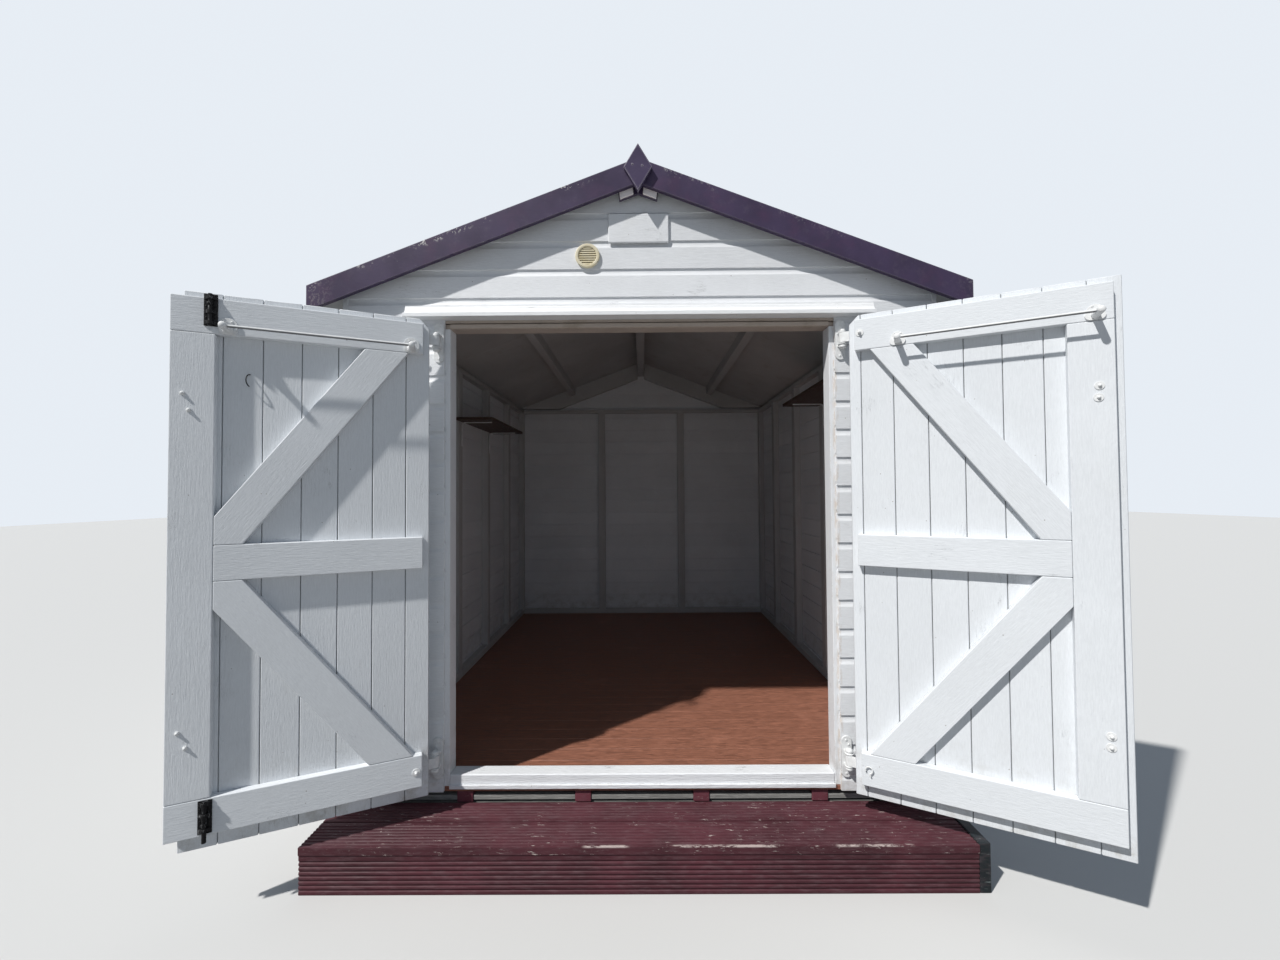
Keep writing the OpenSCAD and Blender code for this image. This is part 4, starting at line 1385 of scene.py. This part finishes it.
class MakeDoors(bpy.types.Operator):
    """Boards the doors and fits their ledges and braces"""

    bl_idname = "hut.doors"
    bl_label = "Doors"

    # Joints between the boards of each door, from the pin, and how wide they are
    BOARD_JOINTS = {
        "left": (0.112, 0.226, 0.340, 0.454, 0.570, 0.684),
        "right": (0.070, 0.183, 0.297, 0.410, 0.525, 0.640, 0.757),
    }
    JOINT = 0.0023
    # Half of a tongue's width and thickness, and how far it ends inside the boards' ends
    TONGUE = (0.006, 0.002)
    TONGUE_IN = 0.003
    # What is lower than this is a ledge, and what is narrower a stile
    NARROW = 0.15

    def execute(self, context):
        for leaf in (LEFT, RIGHT):
            node = leaf.key + "_door_boards"
            start = Vector((leaf.pin.x, leaf.pin.y, 0)).dot(leaf.along)
            boards = sliced(timber(node), [start + s for s in self.BOARD_JOINTS[leaf.key]], leaf.along, self.JOINT)
            boards = painted(eased(boards, sizes().vee, 1), FINISHES["door"])
            settle(joined(node + "_finished", [boards, *self.tongues(leaf, node)]), None, leaf.body, node)
            node = leaf.key + "_door_ledges"
            settle(self.ledges(leaf, node), None, leaf.body, node)
        return {"FINISHED"}

    def tongues(self, leaf, node):
        """The dark grey tongues that close the joints between a door's boards, their grey both dirt and painted shade
        in the joints.
        """
        foot, top = low(node).z + self.TONGUE_IN, high(node).z - self.TONGUE_IN
        middle = sum(leaf.span(node, leaf.out)) / 2
        wide, thick = self.TONGUE
        pieces = []
        for s in self.BOARD_JOINTS[leaf.key]:
            tongue = block("tongue", (-wide, 0, -thick), (wide, top - foot, thick))
            pieces.append(painted(facing(tongue, leaf.point(s, middle, foot), leaf.out), FINISHES["joint"]))
        return pieces

    def ledges(self, leaf, node):
        """The ledges, stile and braces, each with its own direction of grain."""
        pieces = loose_parts(timber(node))
        for piece in pieces:
            eased(piece, 0.003, 3)
            painted(piece, FINISHES["%s_%s_paint" % (leaf.key, self.kind(leaf, piece))])
        return joined(leaf.key + "_door_frame", pieces)

    def kind(self, leaf, piece):
        """What a part of a leaf's frame is, by its shape."""
        base = Vector((leaf.pin.x, leaf.pin.y, 0))
        spots = [((v.co - base).dot(leaf.along), v.co.z) for v in piece.data.vertices]
        wide = max(s for s, z in spots) - min(s for s, z in spots)
        tall = max(z for s, z in spots) - min(z for s, z in spots)
        if tall < self.NARROW:
            return "ledge"
        if wide < self.NARROW:
            return "stile"
        top, foot = max(spots, key=lambda spot: spot[1]), min(spots, key=lambda spot: spot[1])
        return "upper_brace" if top[0] < foot[0] else "lower_brace"


class MakeDoorFittings(bpy.types.Operator):
    """Makes the tower bolts, the hanging rails, the bolt ends and the small hooks on the doors"""

    bl_idname = "hut.door_fittings"
    bl_label = "Door fittings"

    # Bolt ends: places on the leaves, from the pin and from the ground, washers and how far the bolts stick out
    BOLT_ENDS = {
        "left": ((0.782, 1.755), (0.765, 1.700), (0.784, 0.648), (0.763, 0.597)),
        "right": ((0.775, 1.750), (0.772, 1.712), (0.781, 0.640), (0.780, 0.605)),
    }
    WASHERS = {"left": 0.0075, "right": 0.0135}
    STICK_OUT = {"left": 0.0065, "right": 0.0075}
    LONE_BOLTS = {"left": (0.072, 0.360), "right": (0.069, 2.028)}
    LONE_BOLT = (0.0145, 0.013)
    # The two hooks: places on the leaves, and the rods that they are bent from
    HOOK = (0.612, 1.816)
    HOOK_ROD = 0.0018
    EYE_HOOK = (0.078, 0.360)
    EYE_HOOK_ROD = 0.0024
    # The tower bolts: plate, the rod that shows past it, the staples over it, the knob and the screws
    PLATE = 0.108
    PLATE_THICK = 0.004
    TIP = 0.026
    ROD_RADIUS = 0.0065
    STAPLES = (-0.044, -0.008, 0.040)
    STAPLE_WIDE = 0.012
    STAPLE_THICK = 0.003
    KNOB = 0.016
    PLATE_SCREWS = (-0.027, 0.012, 0.050)
    # The ends of a rail: the frame's plate and arm, the height of the discs over the rail, and their screws
    RAIL_PLATE = 0.054
    ARM = 0.011
    DISC_UP = 0.013
    DISC_SCREWS = 0.0180
    SCREW_TURNS = (0.9, 2.0, 3.9)
    DISC_DEPTH = {"left": 0.0062, "right": 0.003}
    DISC_RADIUS = {"left": 0.028, "right": 0.023}
    COLLAR = {"left": 0.0165, "right": 0.0125}
    COLLAR_END = (0.019, 0.0113)

    def execute(self, context):
        settle(self.tower_bolts(), FINISHES["black"], LEFT.body, "left_door_bolts")
        for leaf in (LEFT, RIGHT):
            node = leaf.key + "_door_rail"
            settle(self.rail(leaf, node), None, leaf.body, node)
            settle(self.bolt_ends(leaf), FINISHES["iron"], leaf.body, slot="painted_iron")
        settle(self.hook(), FINISHES["black"], LEFT.body, slot="black_iron")
        settle(self.eye_hook(), FINISHES["iron"], RIGHT.body, slot="painted_iron")
        return {"FINISHED"}

    def tower_bolts(self):
        """Two black tower bolts by the stile, one shooting up and one down."""
        along, out = LEFT.span("left_door_bolts", LEFT.along), LEFT.span("left_door_bolts", LEFT.out)
        s = sum(along) / 2
        top, foot = high("left_door_bolts").z, low("left_door_bolts").z
        upper = self.tower_bolt(along[1] - along[0], 0.0)
        facing(upper, LEFT.point(s, out[0], top - self.PLATE / 2), LEFT.out)
        lower = turned(self.tower_bolt(along[1] - along[0], self.TIP), math.pi)
        facing(lower, LEFT.point(s, out[0], foot + self.TIP + self.PLATE / 2), LEFT.out)
        return smooth(joined("tower_bolts", [upper, lower]))

    def tower_bolt(self, width, tip):
        """A plate with three staples over a rod, a knob and six screws."""
        half, reach, thick = width / 2, self.PLATE / 2, self.PLATE_THICK
        plate = block("plate", (-half, -reach, 0), (half, reach, thick))
        pieces = [eased(plate, 0.0012)]
        lift = thick + self.ROD_RADIUS - 0.001
        pieces.append(eased(rod("bolt", (0, -reach, lift), (0, reach + tip, lift), self.ROD_RADIUS), 0.0012, 2, 50))
        outer = arc((0, 0, lift), self.ROD_RADIUS + 0.0035, 0, 180, 8)
        inner = arc((0, 0, lift), self.ROD_RADIUS + 0.0003, 180, 0, 8)
        foot, over = half * 0.86, thick + self.STAPLE_THICK
        points = [(foot, 0, thick), (foot, 0, over), *outer, (-foot, 0, over), (-foot, 0, thick)]
        points += [(-self.ROD_RADIUS, 0, thick), *inner, (self.ROD_RADIUS, 0, thick)]
        for y in self.STAPLES:
            staple = prism("staple", points, (0, self.STAPLE_WIDE, 0))
            staple.location.y = y - self.STAPLE_WIDE / 2
            pieces.append(eased(bake_place(staple), 0.0008, 1))
        pieces.append(rod("knob", (0, self.KNOB, lift), (0, self.KNOB, lift + 0.014), 0.0038, 14))
        pieces.append(dome("knob_end", (0, self.KNOB, lift + 0.015), 0.0062))
        places = [(x * half * 0.66, y, thick) for x in (-1, 1) for y in self.PLATE_SCREWS]
        pieces += row_of(screw_head("screw", 0.0034, 0.9), places)
        return joined("tower_bolt", pieces)

    def rail(self, leaf, node):
        """A thin rail between two arms with domed ends and collars, on round plates held by three screws each."""
        foot, tip = leaf.span(node, leaf.along)
        base, end = leaf.span(node, leaf.out)
        pieces = loose_parts(timber(node))
        iron = FINISHES["iron"]
        for piece in pieces:
            eased(piece, 0.0014, 2)
            reach = [v.co.dot(leaf.along) for v in piece.data.vertices]
            # The rod gets the finish with painted shade under it; the arms, plates and collars get plain painted iron
            painted(piece, FINISHES["rail"] if max(reach) - min(reach) > (tip - foot) / 2 else iron)
        z = (low(node).z + high(node).z) / 2
        thick = self.DISC_DEPTH[leaf.key]
        length, radius = self.COLLAR_END
        for s in (foot + self.RAIL_PLATE / 2, tip - self.RAIL_PLATE / 2):
            button = dome("button", (0, 0, 0), self.ARM, (1, 1, 0.55), 24, 12)
            pieces.append(painted(facing(button, leaf.point(s, end - 0.001, z), leaf.out), iron))
            disc = rod("disc", (0, 0, 0), (0, 0, thick), self.DISC_RADIUS[leaf.key], 40)
            collar = rod("collar", (0, 0, thick - 0.001), (0, 0, length), self.COLLAR[leaf.key], 28, radius)
            screws = [
                screw_head_at((self.DISC_SCREWS * math.cos(a), self.DISC_SCREWS * math.sin(a), thick), 0.0042, a)
                for a in self.SCREW_TURNS
            ]
            disc = joined("disc", [eased(disc, 0.0018 if thick > 0.005 else 0.001, 2), *screws])
            pieces.append(facing(painted(disc, iron), leaf.point(s, base, z + self.DISC_UP), leaf.out))
            pieces.append(facing(painted(eased(collar, 0.0012, 2), iron), leaf.point(s, base, z), leaf.out))
        return smooth(joined(leaf.key + "_hanging_rail", pieces))

    def bolt_ends(self, leaf):
        """The ends of the bolts that hold the outside fittings, with their washers and nuts."""
        face = leaf.span(leaf.key + "_door_ledges", leaf.out)[1]
        pieces = []
        for s, z in self.BOLT_ENDS[leaf.key]:
            end = bolt_end(self.WASHERS[leaf.key], self.STICK_OUT[leaf.key])
            pieces.append(facing(turned(end, s * 50), leaf.point(s, face, z), leaf.out))
        s, z = self.LONE_BOLTS[leaf.key]
        pieces.append(facing(bolt_end(*self.LONE_BOLT), leaf.point(s, face, z), leaf.out))
        return smooth(joined(leaf.key + "_door_bolt_ends", pieces))

    def hook(self):
        """A small hook bent from a rod, on the left door's boards."""
        face = LEFT.span("left_door_boards", LEFT.out)[1]
        curve = arc((0.005, 0, 0.001), 0.021, 90, -75, 9, (Z * 0.93 - X * 0.36, Y))
        hook = bent_rod("left_door_hook", curve, self.HOOK_ROD, 10)
        return smooth(facing(hook, LEFT.point(self.HOOK[0], face, self.HOOK[1]), LEFT.out))

    def eye_hook(self):
        """A small curved hook low on the right door."""
        face = RIGHT.span("right_door_ledges", RIGHT.out)[1]
        curve = arc((0, 0.006, 0.008), 0.0125, 200, -40, 10, (X, Y))
        curve += [Vector((0.003, -0.008, 0.008)), Vector((0.005, -0.016, 0.008))]
        hook = bent_rod("hook", curve, self.EYE_HOOK_ROD, 10)
        pin = rod("pin", (-0.012, 0.002, -0.001), (-0.012, 0.002, 0.008), 0.0028, 12)
        hook = joined("right_door_hook", [hook, pin])
        return smooth(facing(hook, RIGHT.point(self.EYE_HOOK[0], face, self.EYE_HOOK[1]), RIGHT.out))


class MakeShelves(bpy.types.Operator):
    """Finishes the shelves on the side walls and makes their brackets"""

    bl_idname = "hut.shelves"
    bl_label = "Shelves"

    # Brackets: places along a shelf as shares of its length, and the lengths of the two legs
    PLACES = (0.12, 0.86)
    REACH = 0.19
    DROP = 0.15
    BEND = 0.02
    BAR = 0.004

    def execute(self, context):
        for side, node in ((-1, "left_shelf"), (1, "right_shelf")):
            finish_timber(node, "shelf")
            settle(self.brackets(side, node), FINISHES["iron"], "hut", slot="painted_iron")
        return {"FINISHED"}

    def brackets(self, side, node):
        """Pale bent rods under a shelf, with one leg down the wall."""
        corner, opposite = low(node), high(node)
        wall = opposite.x if side > 0 else -corner.x
        pieces = []
        for share in self.PLACES:
            y = corner.y + (opposite.y - corner.y) * share
            x, z = wall - self.BAR - 0.001, corner.z - self.BAR
            legs = [Vector((x, y, z - self.DROP))]
            legs += arc((x - self.BEND, y, z - self.BEND), self.BEND, 0, 90, 5)
            legs += [Vector((x - self.REACH, y, z))]
            pieces.append(bent_rod("bracket", legs, self.BAR, 10))
        piece = joined("right_shelf_brackets", pieces)
        if side < 0:
            twin = mirrored(piece, "left_shelf_brackets")
            bpy.data.objects.remove(piece)
            return smooth(twin)
        return piece


class MakeStage(bpy.types.Operator):
    """Lays a pale floor, lights the hut softly and sets the camera"""

    bl_idname = "hut.stage"
    bl_label = "Stage"

    # The camera: where it stands before the front wall, and how it leans
    CAMERA_AHEAD = 2.1027
    CAMERA_SIDE = 0.0085
    CAMERA_HEIGHT = 1.4197
    CAMERA_PITCH = 1.317
    CAMERA_ROLL = -0.393
    CAMERA_YAW = 0.249
    FOCAL_PIXELS = 516.36
    FRAME_PIXELS = 1280
    SENSOR = 36.0
    # The floor as the camera sees it and as it throws light back, and the sky as it lights and as it is seen
    FLOOR = (0.62, 0.62, 0.61)
    FLOOR_LIGHT = (0.28, 0.28, 0.275)
    SKY_LIGHT = (0.66, 0.80, 1.0, 1)
    SKY_STRENGTH = 0.265
    SKY = (0.80, 0.85, 0.91, 1)
    # The sun: how far it leans from overhead, where from, its strength, its width and its colour
    SUN_LEAN = math.radians(41)
    SUN_TURN = math.radians(-49)
    SUN_STRENGTH = 4.05
    SUN_WIDTH = math.radians(1.5)
    SUN_COLOUR = (1.0, 0.98, 0.95)

    def execute(self, context):
        scene = context.scene
        scene.view_settings.view_transform = "Standard"
        self.camera(scene)
        self.floor()
        self.sky(scene)
        self.lamps()
        return {"FINISHED"}

    def camera(self, scene):
        bpy.ops.object.camera_add()
        camera = bpy.context.object
        camera.name = "photo_view"
        camera.data.sensor_width = self.SENSOR
        camera.data.lens = self.FOCAL_PIXELS * self.SENSOR / self.FRAME_PIXELS
        camera.data.clip_start = 0.05
        turn = Matrix.Rotation(math.radians(self.CAMERA_YAW), 4, "Z")
        turn = turn @ Matrix.Rotation(math.radians(90 + self.CAMERA_PITCH), 4, "X")
        turn = turn @ Matrix.Rotation(math.radians(self.CAMERA_ROLL), 4, "Z")
        place = Vector((self.CAMERA_SIDE, FRONT - self.CAMERA_AHEAD, self.CAMERA_HEIGHT))
        camera.matrix_world = Matrix.Translation(place) @ turn
        scene.camera = camera

    def floor(self):
        idle()
        bpy.ops.mesh.primitive_plane_add(size=60, location=(0, 0, -0.0005))
        ground = bpy.context.object
        ground.name = "studio_floor"
        f = Finish("studio_floor")
        seen = f.node("ShaderNodeLightPath").outputs["Is Camera Ray"]
        f.wear(Base_Color=f.mix(seen, self.FLOOR_LIGHT, self.FLOOR), Roughness=0.9)
        ground.data.materials.append(f.material)

    def sky(self, scene):
        world = bpy.data.worlds.new("studio_sky")
        scene.world = world
        world.use_nodes = True
        tree = world.node_tree
        background = tree.nodes["Background"]
        background.inputs["Color"].default_value = self.SKY_LIGHT
        background.inputs["Strength"].default_value = self.SKY_STRENGTH
        seen = tree.nodes.new("ShaderNodeBackground")
        seen.inputs["Color"].default_value = self.SKY
        paths = tree.nodes.new("ShaderNodeLightPath")
        either = tree.nodes.new("ShaderNodeMath")
        either.operation = "MAXIMUM"
        tree.links.new(paths.outputs["Is Camera Ray"], either.inputs[0])
        tree.links.new(paths.outputs["Is Glossy Ray"], either.inputs[1])
        mix = tree.nodes.new("ShaderNodeMixShader")
        tree.links.new(either.outputs[0], mix.inputs[0])
        tree.links.new(background.outputs[0], mix.inputs[1])
        tree.links.new(seen.outputs[0], mix.inputs[2])
        tree.links.new(mix.outputs[0], tree.nodes["World Output"].inputs["Surface"])

    def lamps(self):
        idle()
        bpy.ops.object.light_add(type="SUN", rotation=(self.SUN_LEAN, 0, self.SUN_TURN))
        sun = bpy.context.object
        sun.name = "key_light"
        sun.data.energy = self.SUN_STRENGTH
        sun.data.angle = self.SUN_WIDTH
        sun.data.color = self.SUN_COLOUR


PIECES = (
    MakeWalls, MakeWallFrame, MakeDoorway, MakeRoof, MakeBargeboards, MakeGableFittings,
    MakeBase, MakeStep, MakeHinges, MakeDoors, MakeDoorFittings, MakeShelves, MakeStage,
)


class HutPanel(bpy.types.Panel):
    """Lists the pieces of the hut in the sidebar"""

    bl_idname = "VIEW3D_PT_beach_hut"
    bl_label = "Beach Hut"
    bl_space_type = "VIEW_3D"
    bl_region_type = "UI"
    bl_category = "Beach Hut"

    def draw(self, context):
        for piece in PIECES:
            self.layout.operator(piece.bl_idname)
        for group in (context.scene.hut_boards, context.scene.hut_colours):
            for name in group.__annotations__:
                self.layout.prop(group, name)


CLASSES = (HutBoardSizes, HutColours, *PIECES, HutPanel)


def register():
    for cls in CLASSES:
        bpy.utils.register_class(cls)
    bpy.types.Scene.hut_boards = PointerProperty(type=HutBoardSizes)
    bpy.types.Scene.hut_colours = PointerProperty(type=HutColours)


def unregister():
    del bpy.types.Scene.hut_colours
    del bpy.types.Scene.hut_boards
    for cls in reversed(CLASSES):
        bpy.utils.unregister_class(cls)


def main():
    register()
    make_finishes()
    for piece in PIECES:
        group, name = piece.bl_idname.split(".")
        getattr(getattr(bpy.ops, group), name)()
    idle()


if __name__ == "__main__":
    main()
